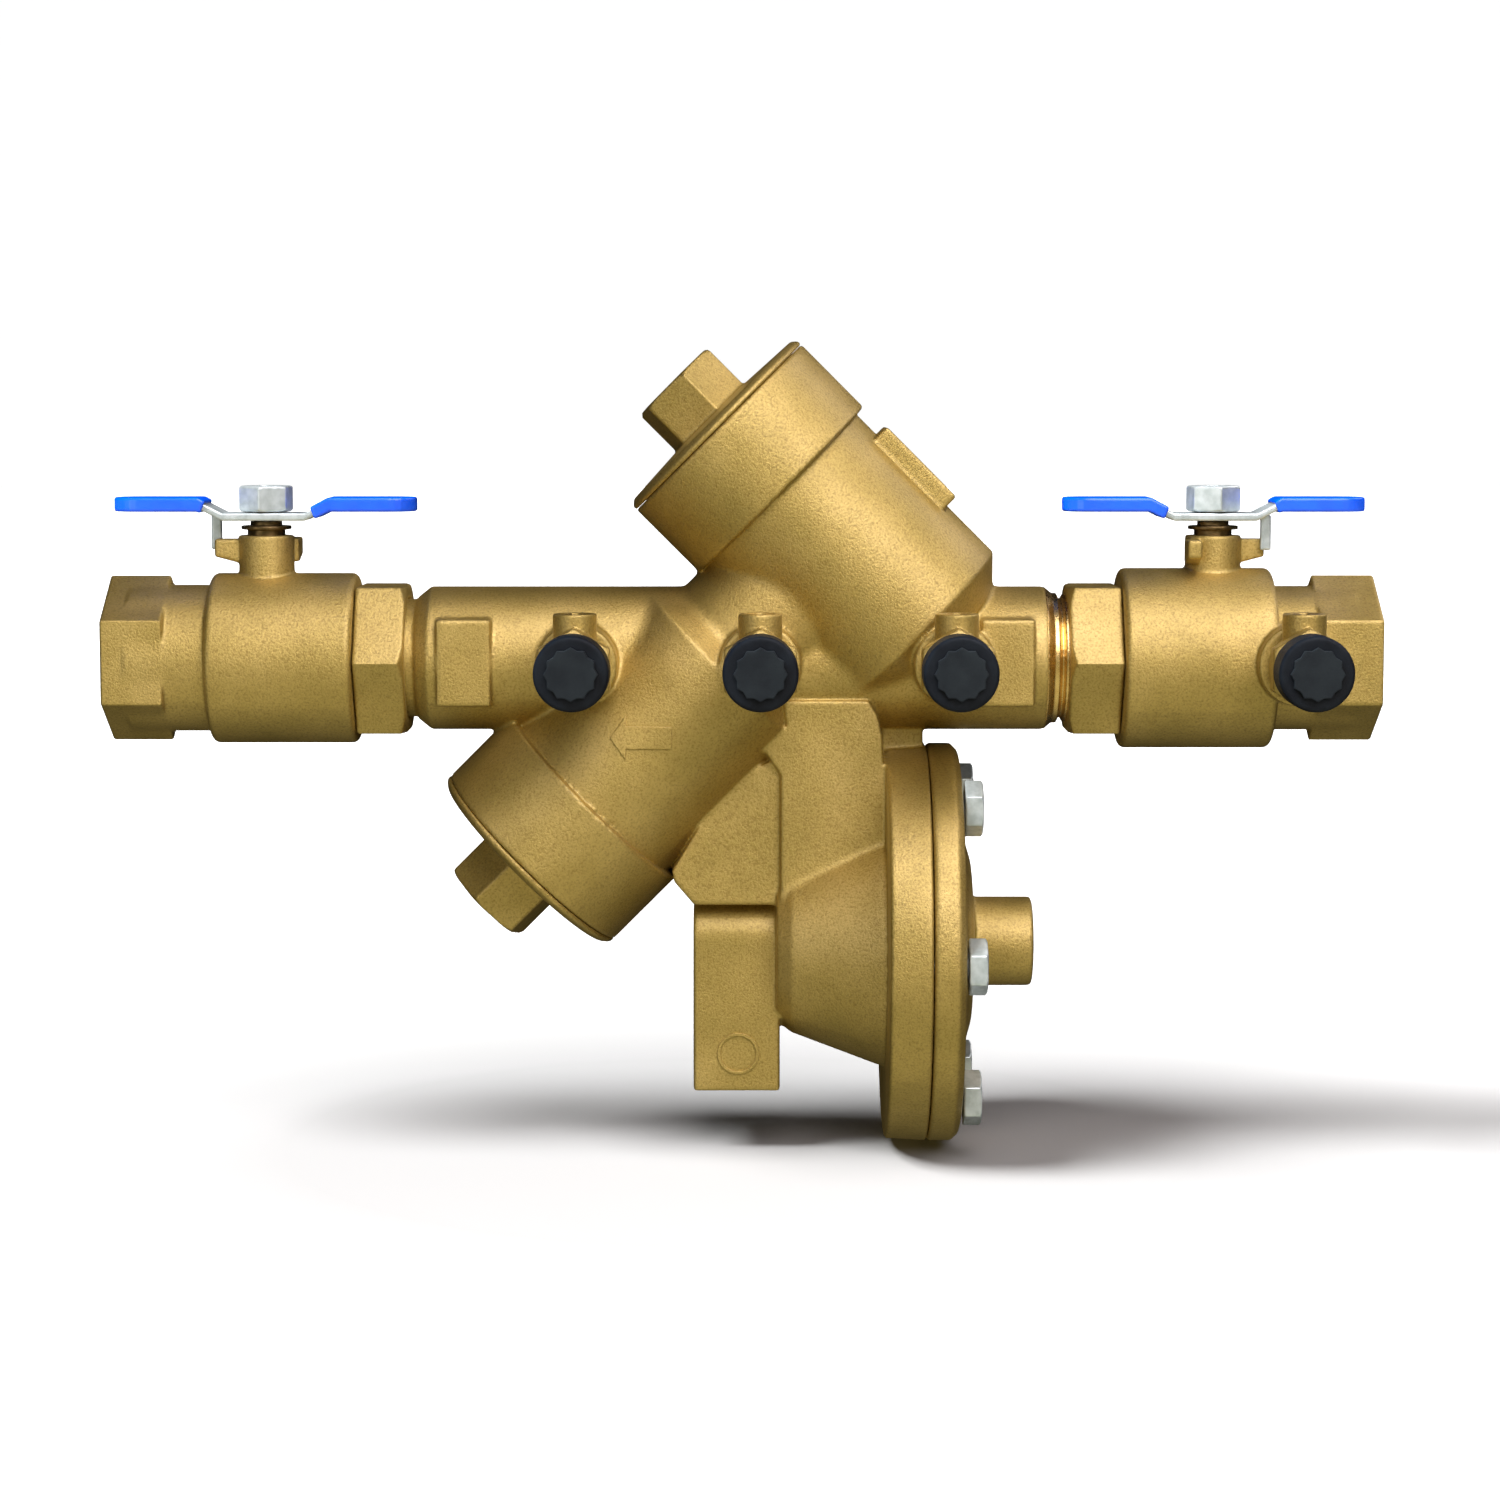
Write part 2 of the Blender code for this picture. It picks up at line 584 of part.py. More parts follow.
def make_relief_stem():
    """Stem with the disc holder at one end and a plate on each side of the diaphragm."""
    low_plate, high_plate = DIAPHRAGM_SEAT - 0.2, FLANGE_FACE + GAP
    under, over = low_plate - PLATE_THICK, high_plate + 2.2
    profile = [(0, 66.0), (GUIDE_R, 66.0), (GUIDE_R, over), (22.0, over), (23.0, high_plate),
               (GUIDE_R, high_plate), (GUIDE_R, low_plate), (24.0, low_plate), (24.0, under),
               (GUIDE_R, under), (GUIDE_R, 28.5), (12.5, 28.5), (12.5, 25.1), (GUIDE_R, 25.1),
               (GUIDE_R, 13.0), (0, 13.0)]
    turned("relief_stem", profile, RELIEF, MID, "stainless_steel")
    disc_low = RELIEF_SEAT_FACE + RELIEF_TRAVEL + GAP
    tube("relief_disc", 12.0, GUIDE_R + GAP, disc_low, 24.8, RELIEF, MID, "black_rubber")


def make_relief_seat():
    floor = RELIEF_SEAT_FLOOR + GAP
    profile = [(11.5, RELIEF_SEAT_FACE), (11.5, 14.6), (13.0, 14.6), (13.0, floor), (9.0, floor),
               (9.0, RELIEF_SEAT_FACE)]
    turned("relief_seat", profile, RELIEF, MID, "stainless_steel")


def make_relief_spring():
    low = SPRING_LEDGE + GAP + RELIEF_SPRING_WIRE / 2
    high = DIAPHRAGM_SEAT - 0.2 - PLATE_THICK - GAP - RELIEF_SPRING_WIRE / 2
    coil("relief_spring", 21.8, RELIEF_SPRING_WIRE, low, high, 3, RELIEF, "stainless_steel")


def make_relief_bolts():
    for i in range(BOLT_COUNT):
        name, frame, seat = "relief_bolt_" + str(i + 1), bolt_frame(i), COVER_FACE + 0.4 + GAP
        bolt = rod(name, BOLT_R, 40.0 + GAP, seat + 1.0, frame, 10, "plated_steel")
        add(bolt, prism(name + "_head", BOLT_HEX, seat, seat + BOLT_HEAD, frame, math.pi / 6))


# ---------------------------------------------------------------- shut-off valves

def lug(name, radial, frame):
    """A cast stop lug on the bonnet boss, drawn in the plane of its length; radial is its Y range."""
    side = [(4.0, 25.0), (BOSS_R, 25.0), (STOP_REACH, 26.6), (STOP_REACH, 31.2), (4.0, 31.2)]
    middle, half = (radial[0] + radial[1]) / 2, (radial[1] - radial[0]) / 2
    turned_up = frame_along((0, middle, 0), (0, -1, 0), (1, 0, 0))
    return plate(name, side, half, frame @ turned_up)


def make_valve_body(side):
    frame, pipe, size = valve_frame(side), valve_pipe_frame(side), VALVES[side]
    end = INLET_X - abs(size["x"])
    body_r, neck_r = size["body_r"], size["neck_r"]
    shell = [(0, end - 6.0), (neck_r, end - 6.0), (neck_r, size["neck_in"]), (body_r - 1.5, size["neck_in"]),
             (body_r, size["neck_in"] - 2.0), (body_r, size["body_in"]), (0, size["body_in"])]
    body = turned(side + "_valve_body", shell, pipe, BIG, "cast_brass")
    closed_turn = Matrix.Rotation(-math.pi / 2, 4, "Z")
    shells = [prism(side + "_end_hex", END_HEX, size["hex_in"], end, pipe, math.pi / 6),
              rod(side + "_boss", BOSS_R, 17.5, BOSS_TOP, frame, MID),
              lug(side + "_open_lug", (-1.6, 2.6), frame),
              lug(side + "_closed_lug", (-7.9, -4.2), frame @ closed_turn)]
    floor = end - SOCKET_DEPTH
    bore = [(0, end + 5.0), (SOCKET_R, end + 5.0), (SOCKET_R, floor), (BORE_R, floor),
            (BORE_R, BALL_CAVITY_END), (BALL_CAVITY_R, BALL_CAVITY_END), (BALL_CAVITY_R, -40.0), (0, -40.0)]
    gland_r, stem_r, foot_r = GLAND_SHANK_R + GAP, STEM_R + 0.4, STEM_FOOT_R + 0.4
    stem_bore = [(0, 40.0), (gland_r, 40.0), (gland_r, 25.6), (stem_r, 25.6), (stem_r, 20.6), (foot_r, 20.6),
                 (foot_r, 10.0), (0, 10.0)]
    cavities = [turned(side + "_bore", bore, pipe, BIG), turned(side + "_stem_bore", stem_bore, frame, SMALL)]
    if side == "inlet":
        shells.append(rod("testcock_1_boss", COCK_BOSS_R, 8.0, COCK_BOSS_END, cock_frame("testcock_1")))
        cavities.append(cock_tapping("testcock_1"))
    add(body, *shells)
    cut(body, *cavities)


def make_valve_adapter(side):
    pipe, size = valve_pipe_frame(side), VALVES[side]
    near, far = size["body_in"] - GAP, size["adapter_in"]
    outer, inner_end = BALL_CAVITY_R - GAP, -BALL_CAVITY_END - GAP
    profile = [(outer, inner_end), (outer, near - 3.0), (SPIGOT_R + GAP, near - 3.0), (BORE_R, near - 3.0),
               (BORE_R, inner_end)]
    adapter = turned(side + "_valve_adapter", profile, pipe, BIG, "machined_brass")
    add(adapter, prism(side + "_adapter_hex", ADAPTER_HEX, far, near, pipe))
    pocket = far + SPIGOT_GRIP + GAP
    bore = [(0, near + 5.0), (BORE_R, near + 5.0), (BORE_R, pocket), (SPIGOT_R + GAP, pocket),
            (SPIGOT_R + GAP, far - 5.0), (0, far - 5.0)]
    cut(adapter, turned(side + "_adapter_bore", bore, pipe, BIG))


def make_ball(side):
    frame = valve_frame(side)
    ball = turned(side + "_ball", arc((0, 0), BALL_R, 90, -90, 11), frame, MID + 4, "stainless_steel")
    bore = rod(side + "_ball_bore", BORE_R, -30.0, 30.0, valve_pipe_frame(side), MID)
    cut(ball, bore, box(side + "_ball_slot", (-5.5, -2.3, 14.0), (5.5, 2.3, 20.0), frame))


def make_ball_seats(side):
    """The two seat rings, whose inner faces follow the ball."""
    clear_r = BALL_R + 0.5
    back = BALL_CAVITY_END - GAP
    face_angles = (math.degrees(math.acos(SEAT_NEAR / clear_r)), math.degrees(math.asin(BORE_R / clear_r)))
    face = [(y, x) for x, y in arc((0, 0), clear_r, face_angles[1], face_angles[0], 4)]
    profile = [(BALL_CAVITY_R - GAP, back), (BALL_CAVITY_R - GAP, SEAT_NEAR)] + face[::-1] + [(BORE_R, back)]
    pipe = valve_pipe_frame(side)
    turned(side + "_valve_seat_outer", profile, pipe, MID, "white_plastic")
    turned(side + "_valve_seat_inner", profile, pipe @ Matrix.Rotation(math.pi, 4, "X"), MID, "white_plastic")


def make_gland(side):
    bore_r = STEM_R + GAP
    profile = [(GLAND_R, 34.6), (GLAND_R, 33.65), (GLAND_SHANK_R, 33.65), (GLAND_SHANK_R, 26.0),
               (bore_r, 26.0), (bore_r, 34.6)]
    turned(side + "_packing_gland", profile, valve_frame(side), MID, "machined_brass")


def make_stem(side):
    profile = [(0, STEM_TOP), (STEM_R, STEM_TOP), (STEM_R, 20.2), (STEM_FOOT_R, 20.2), (STEM_FOOT_R, 17.4),
               (0, 17.4)]
    frame = valve_frame(side)
    stem = turned(side + "_stem", profile, frame, SMALL, "machined_brass")
    add(stem, box(side + "_stem_tongue", (-4.5, -1.9, 14.4), (4.5, 1.9, 18.5), frame))


def strap_side(clear):
    """The strap's outline seen from the side, offset outwards by clear."""
    low, high = STRAP_LOW - clear, STRAP_LOW + STRAP_THICK + clear
    lean = clear * 0.23
    reach = STRAP_REACH + clear
    top = [(reach, high + STRAP_RISE), (SLANT_OUT - lean, high + STRAP_RISE), (SLANT_IN - lean, high)]
    bottom = [(SLANT_IN + lean, low), (SLANT_OUT + lean, low + STRAP_RISE), (reach, low + STRAP_RISE)]
    return top, bottom


def make_strap(side):
    frame = valve_frame(side)
    top, bottom = strap_side(0.0)
    left_top = [(-x, z) for x, z in reversed(top)]
    left_bottom = [(-x, z) for x, z in reversed(bottom)]
    strap = plate(side + "_handle_strap", top + left_top + left_bottom + bottom, STRAP_HALF_WIDTH,
                  frame @ FRONT_VIEW, "plated_steel")
    round_ends(strap, side + "_strap_plan", STRAP_REACH, STRAP_HALF_WIDTH, frame)
    add(strap, box(side + "_stop_tab", (12.0, -3.9, 28.3), (14.7, -1.9, 37.4), frame))
    cut(strap, rod(side + "_strap_hole", STEM_R + GAP, 30.0, 40.0, frame, SMALL))


def round_ends(target, name, reach, half_width, frame):
    """Trim the ends of a strap or sleeve to a rounded plan outline."""
    corner = half_width - 0.5
    right = arc((reach - corner, -half_width + corner), corner, -90, 0, 5)
    right += arc((reach - corner, half_width - corner), corner, 0, 90, 5)
    left = [(-x, -y) for x, y in right]
    outline = plate(name, right + left, 20.0, frame @ Matrix.Translation((0, 0, 40 * MM)))
    combine(target, [outline], "INTERSECT")


def make_grips(side):
    """A vinyl sleeve on each arm, hollow along the strap."""
    frame = valve_frame(side)
    outside = SLEEVE_CLEAR + SLEEVE_WALL
    top, bottom = strap_side(outside)
    slope = STRAP_RISE / (SLANT_OUT - SLANT_IN)
    for hand, turn in (("right", 0.0), ("left", math.pi)):
        start = SLEEVE_IN[hand]
        rise = (start - SLANT_IN) * slope
        inner_top = (start - 0.3, STRAP_LOW + STRAP_THICK + outside + rise)
        inner_bottom = (start + 0.9, STRAP_LOW - outside + rise + 0.5)
        outline = [top[0], top[1], inner_top, inner_bottom, bottom[1], bottom[2]]
        name = side + "_grip_" + hand
        own = frame @ Matrix.Rotation(turn, 4, "Z")
        grip = plate(name, outline, STRAP_HALF_WIDTH + outside, own @ FRONT_VIEW, "blue_vinyl")
        round_ends(grip, name + "_plan", STRAP_REACH + outside, STRAP_HALF_WIDTH + outside, own)
        pocket_top, pocket_bottom = strap_side(SLEEVE_CLEAR)
        pocket_outline = pocket_top[:2] + [(0.0, pocket_top[2][1] - SLANT_IN * slope)]
        pocket_outline += [(0.0, pocket_bottom[0][1] - SLANT_IN * slope)] + pocket_bottom[1:]
        pocket_half = STRAP_HALF_WIDTH + SLEEVE_CLEAR
        pocket = plate(name + "_pocket", pocket_outline, pocket_half, own @ FRONT_VIEW)
        round_ends(pocket, name + "_pocket_plan", STRAP_REACH + SLEEVE_CLEAR, pocket_half, own)
        cut(grip, pocket)


def make_handle_nut(side):
    low, high = STRAP_LOW + STRAP_THICK + GAP, STEM_TOP + 0.5
    spin = math.radians(VALVES[side]["nut_spin"])
    nut = prism(side + "_handle_nut", HANDLE_NUT_HEX, low, high, valve_frame(side), spin, "plated_steel")
    cut(nut, rod(side + "_nut_hole", STEM_R + GAP, 30.0, 50.0, valve_frame(side), SMALL))


# ---------------------------------------------------------------- test cocks

def cock_stem_frame(cock):
    return Matrix.Translation((TESTCOCKS[cock] * MM, -COCK_STUB_AT * MM, 0))


def make_cock_body(cock):
    frame = cock_frame(cock)
    low = COCK_BOSS_END + GAP
    shank_end = COCK_POCKET_FLOOR + GAP
    profile = [(0, COCK_NOSE_END), (COCK_NOSE_R, COCK_NOSE_END), (COCK_NOSE_R, COCK_HEX_NEAR + 1),
               (COCK_BARREL_R, COCK_HEX_NEAR + 1), (COCK_BARREL_R, low), (COCK_SHANK_R, low),
               (COCK_SHANK_R, shank_end), (0, shank_end)]
    body = turned(cock + "_body", profile, frame, MID, "machined_brass")
    stub = rod(cock + "_stub", COCK_STUB_R, -6.0, COCK_STUB_TOP, cock_stem_frame(cock), SMALL + 2)
    stem_bore = rod(cock + "_stem_bore", COCK_STEM_R + GAP, -5.0, 20.0, cock_stem_frame(cock), SMALL)
    add(body, stub, prism(cock + "_hex", COCK_HEX, COCK_HEX_NEAR, COCK_HEX_FAR, frame, math.pi / 6))
    cut(body, stem_bore, rod(cock + "_waterway", COCK_WATERWAY_R, 10.0, 60.0, frame, 8))


def make_cock_stem(cock):
    """The slotted plug whose cross hole lets water through; it turns a quarter to close."""
    frame = cock_stem_frame(cock)
    top, across = COCK_STUB_TOP - 0.1, frame @ Matrix.Rotation(math.pi / 2, 4, "X")
    stem = rod(cock + "_stem", COCK_STEM_R, -5.0 + GAP, top, frame, SMALL, "machined_brass")
    slot = box(cock + "_stem_slot", (-0.7, -5.0, COCK_STUB_TOP - 2.2), (0.7, 5.0, COCK_STUB_TOP + 2.0), frame)
    cut(stem, slot, rod(cock + "_stem_hole", 2.2, -10.0, 10.0, across, 8))


def knob_outline():
    outline = []
    for i in range(KNOB_POINTS * 2):
        radius = KNOB_TIP_R if i % 2 == 0 else KNOB_ROOT_R
        angle = math.pi * i / KNOB_POINTS
        outline.append((radius * math.cos(angle), radius * math.sin(angle)))
    return outline


def make_cock_cap(cock):
    frame = cock_frame(cock)
    hollow_r = COCK_NOSE_R + GAP
    profile = [(0, CAP_FACE), (CAP_R - 1.0, CAP_FACE), (CAP_R, CAP_FACE - 1.0), (CAP_R, COCK_HEX_FAR + GAP),
               (hollow_r, COCK_HEX_FAR + GAP), (hollow_r, COCK_NOSE_END + GAP), (0, COCK_NOSE_END + GAP)]
    cap = turned(cock + "_cap", profile, frame, MID, "black_plastic")
    middle = (CAP_FACE + KNOB_FACE) / 2 - 0.5
    half = KNOB_FACE - middle
    knob_frame = frame @ Matrix.Translation((0, 0, middle * MM))
    add(cap, plate(cock + "_knob", knob_outline(), half, knob_frame))


# ---------------------------------------------------------------- assembly

def build():
    make_main_casting()
    for check in CHECKS:
        make_check_cover(check)
        make_check_seal(check)
        make_check_seat(check)
        make_check_poppet(check)
        make_check_spring(check)
    make_relief_cover()
    make_relief_diaphragm()
    make_relief_stem()
    make_relief_seat()
    make_relief_spring()
    make_relief_bolts()
    for side in VALVES:
        make_valve_body(side)
        make_valve_adapter(side)
        make_ball(side)
        make_ball_seats(side)
        make_gland(side)
        make_stem(side)
        make_strap(side)
        make_grips(side)
        make_handle_nut(side)
    for cock in TESTCOCKS:
        make_cock_body(cock)
        make_cock_stem(cock)
        make_cock_cap(cock)


build()
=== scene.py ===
"""Looks of the backflow preventer: fine castings, marks, finishes, lights and camera around the CAD frame."""

import json
import math

import bpy
import numpy as np
from mathutils import Matrix, Vector


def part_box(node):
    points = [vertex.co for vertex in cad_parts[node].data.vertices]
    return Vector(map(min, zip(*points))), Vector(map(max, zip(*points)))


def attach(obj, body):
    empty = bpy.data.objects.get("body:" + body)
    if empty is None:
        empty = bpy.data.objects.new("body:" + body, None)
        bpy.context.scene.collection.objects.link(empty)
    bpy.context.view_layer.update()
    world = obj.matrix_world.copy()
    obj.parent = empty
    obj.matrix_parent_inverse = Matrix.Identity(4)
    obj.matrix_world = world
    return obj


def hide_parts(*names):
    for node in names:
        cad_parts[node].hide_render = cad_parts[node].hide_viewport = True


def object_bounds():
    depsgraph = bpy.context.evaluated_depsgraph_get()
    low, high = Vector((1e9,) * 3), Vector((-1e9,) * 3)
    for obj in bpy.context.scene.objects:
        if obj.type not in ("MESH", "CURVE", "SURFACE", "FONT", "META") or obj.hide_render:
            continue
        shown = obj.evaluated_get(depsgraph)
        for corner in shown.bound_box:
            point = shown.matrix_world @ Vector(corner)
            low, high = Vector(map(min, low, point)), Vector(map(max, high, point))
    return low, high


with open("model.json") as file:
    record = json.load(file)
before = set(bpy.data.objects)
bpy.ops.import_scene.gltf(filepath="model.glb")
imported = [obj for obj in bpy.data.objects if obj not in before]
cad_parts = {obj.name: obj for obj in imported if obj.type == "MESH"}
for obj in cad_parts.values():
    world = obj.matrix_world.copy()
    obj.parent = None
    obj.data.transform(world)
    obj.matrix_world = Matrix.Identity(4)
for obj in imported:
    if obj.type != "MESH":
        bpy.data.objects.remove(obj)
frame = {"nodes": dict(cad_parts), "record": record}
CAD_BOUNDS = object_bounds()

# Sculpted shapes are drawn in millimetres from the centre of the assembly on the pipe axis.
MM = 0.001
LENGTH = (CAD_BOUNDS[1].x - CAD_BOUNDS[0].x) / MM
CENTRE = Vector((CAD_BOUNDS[1].x - LENGTH / 2 * MM, 0.0, 0.0))
FAR = 1000.0
PAST_AXIS = -30.0
CHAMFER_START = 1.02
CHAMFER_SLOPE = 1.73


def node_box(node):
    """Lowest and highest corner of a CAD node, in millimetres from the assembly's centre."""
    low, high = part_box(node)
    return (Vector(low) - CENTRE) / MM, (Vector(high) - CENTRE) / MM


def node_middle(node):
    low, high = node_box(node)
    return (low + high) / 2


# ---------------------------------------------------------------- frames

def frame_along(origin, direction, reference):
    """A frame, in millimetres, whose Z runs along direction and whose X lies on the side of reference."""
    z_axis = Vector(direction).normalized()
    reference = Vector(reference)
    x_axis = (reference - z_axis * reference.dot(z_axis)).normalized()
    turn = Matrix((x_axis, z_axis.cross(x_axis), z_axis)).transposed().to_4x4()
    return Matrix.Translation(Vector(origin)) @ turn


STEM_X = {side: node_middle(side + "_stem").x for side in ("inlet", "outlet")}
COCK_X = {"testcock_%d" % i: node_middle("testcock_%d_cap" % i).x for i in range(1, 5)}
RELIEF_Z = node_middle("relief_cover").z
UPRIGHT = Matrix.Identity(4)
PIPE = frame_along((0, 0, 0), (1, 0, 0), (0, 0, 1))
RELIEF = frame_along((0, 0, RELIEF_Z), (1, 0, 0), (0, 0, 1))
FRONT = frame_along((0, 0, 0), (0, -1, 0), (1, 0, 0))

CHECKS = {
    "check_1": {"start": 54.1, "rise": 1, "barrel": 11.7, "collar": 62.2, "top": 85.0, "hex_end": 101.8},
    "check_2": {"start": -2.6, "rise": -1, "barrel": 2.9, "collar": 51.2, "top": 74.1, "hex_end": 91.7},
}
VALVES = {
    "inlet": {"turn": 0.0, "body_r": 23.5, "neck_r": 18.8, "hex_in": 25.6, "neck_in": 14.9,
              "body_in": -24.5, "adapter_in": -38.4, "nut_spin": 10.0},
    "outlet": {"turn": math.pi, "body_r": 22.2, "neck_r": 19.1, "hex_in": 24.9, "neck_in": 14.0,
               "body_in": -23.9, "adapter_in": -37.2, "nut_spin": 52.0},
}


def check_frame(check):
    start, rise = CHECKS[check]["start"], CHECKS[check]["rise"]
    return frame_along((start, 0, 0), (-1, 0, rise), (1, 0, rise))


def valve_frame(side):
    return Matrix.Translation((STEM_X[side], 0, 0)) @ Matrix.Rotation(VALVES[side]["turn"], 4, "Z")


def cock_frame(cock):
    return frame_along((COCK_X[cock], 0, 0), (0, -1, 0), (0, 0, 1))


# ---------------------------------------------------------------- signed distances

def polygon_distance(u, v, points):
    """Distance from (u, v) to a closed polygon, negative inside."""
    shape = np.broadcast(u, v).shape
    best = np.full(shape, FAR * FAR, np.float32)
    inside = np.zeros(shape, bool)
    for (ax, ay), (bx, by) in zip(points, points[1:] + points[:1]):
        ex, ey = bx - ax, by - ay
        px, py = u - ax, v - ay
        t = np.clip((px * ex + py * ey) / (ex * ex + ey * ey), 0, 1)
        best = np.minimum(best, (px - ex * t) ** 2 + (py - ey * t) ** 2)
        crosses = (v < ay) != (v < by)
        inside ^= crosses & (((px * ey - py * ex) < 0) == (ey > 0))
    return np.where(inside, -1, 1) * np.sqrt(best)


def inset(points, amount):
    """The polygon with every edge moved inwards by amount, for rounding its corners."""
    area = sum(ax * by - bx * ay for (ax, ay), (bx, by) in zip(points, points[1:] + points[:1]))
    side = amount if area > 0 else -amount
    lines = []
    for (ax, ay), (bx, by) in zip(points, points[1:] + points[:1]):
        length = math.hypot(bx - ax, by - ay)
        nx, ny = -(by - ay) / length, (bx - ax) / length
        lines.append((nx, ny, nx * ax + ny * ay + side))
    moved = []
    for (a1, b1, c1), (a2, b2, c2) in zip(lines[-1:] + lines[:-1], lines):
        det = a1 * b2 - a2 * b1
        if abs(det) < 1e-6:
            continue
        moved.append(((c1 * b2 - c2 * b1) / det, (a1 * c2 - a2 * c1) / det))
    return moved


def rounded_both(first, second, rounding):
    """Intersection of two distances with its edges rounded."""
    a, b = first + rounding, second + rounding
    outside = np.sqrt(np.maximum(a, 0) ** 2 + np.maximum(b, 0) ** 2)
    return np.minimum(np.maximum(a, b), 0) + outside - rounding


def turned(profile, rounding=0.0):
    """A solid of revolution about Z from (radius, height) points; radius 0 means through the axis."""
    outline = [(PAST_AXIS if r == 0 else r, z) for r, z in profile]
    reach = max(r for r, _ in outline)
    heights = [z for _, z in outline]
    outline = inset(outline, rounding) if rounding else outline

    def distance(x, y, z):
        return polygon_distance(np.sqrt(x * x + y * y), z, outline) - rounding

    return distance, (-reach, -reach, min(heights)), (reach, reach, max(heights))


def rod(radius, low, high, rounding=0.0):
    return turned([(0, high), (radius, high), (radius, low), (0, low)], rounding)


def tube(outer, inner, low, high, rounding=0.0):
    return turned([(outer, high), (outer, low), (inner, low), (inner, high)], rounding)


def prism(outline, half, rounding=0.0):
    """An outline in XY, solid for half on both sides along Z."""
    xs, ys = [x for x, _ in outline], [y for _, y in outline]
    drawn = inset(outline, rounding) if rounding else outline

    def distance(x, y, z):
        flat = polygon_distance(x, y, drawn) - rounding
        return rounded_both(flat, np.abs(z) - half, rounding)

    return distance, (min(xs), min(ys), -half), (max(xs), max(ys), half)


def box(low, high, rounding=0.0):
    middle = [(a + b) / 2 for a, b in zip(low, high)]
    half = [(b - a) / 2 - rounding for a, b in zip(low, high)]

    def distance(x, y, z):
        away = [np.abs(v - m) - h for v, m, h in zip((x, y, z), middle, half)]
        outside = np.sqrt(sum(np.maximum(a, 0) ** 2 for a in away))
        return np.minimum(np.maximum(np.maximum(away[0], away[1]), away[2]), 0) + outside - rounding

    return distance, low, high


def hexagon(flats, low, high, spin=0.0, rounding=0.4, chamfer=(True, True)):
    """A hexagonal prism about Z with a flat towards X, its corners turned off at the ends chosen."""
    corner = flats / math.sqrt(3)
    middle, half = (low + high) / 2, (high - low) / 2

    def distance(x, y, z):
        flat = np.full(np.broadcast(x, y, z).shape, -FAR, np.float32)
        for i in range(3):
            angle = spin + math.pi / 3 * i
            flat = np.maximum(flat, np.abs(x * math.cos(angle) + y * math.sin(angle)) - flats / 2)
        result = rounded_both(flat, np.abs(z - middle) - half, rounding)
        radius = np.sqrt(x * x + y * y)
        for wanted, depth in zip(chamfer, (z - low, high - z)):
            if wanted:
                result = np.maximum(result, (radius - flats / 2 * CHAMFER_START - depth * CHAMFER_SLOPE) / 2)
        return result

    return distance, (-corner, -corner, low), (corner, corner, high)


def ball(radius):
    def distance(x, y, z):
        return np.sqrt(x * x + y * y + z * z) - radius

    return distance, (-radius,) * 3, (radius,) * 3


# ---------------------------------------------------------------- clay: a sampled distance turned into a mesh

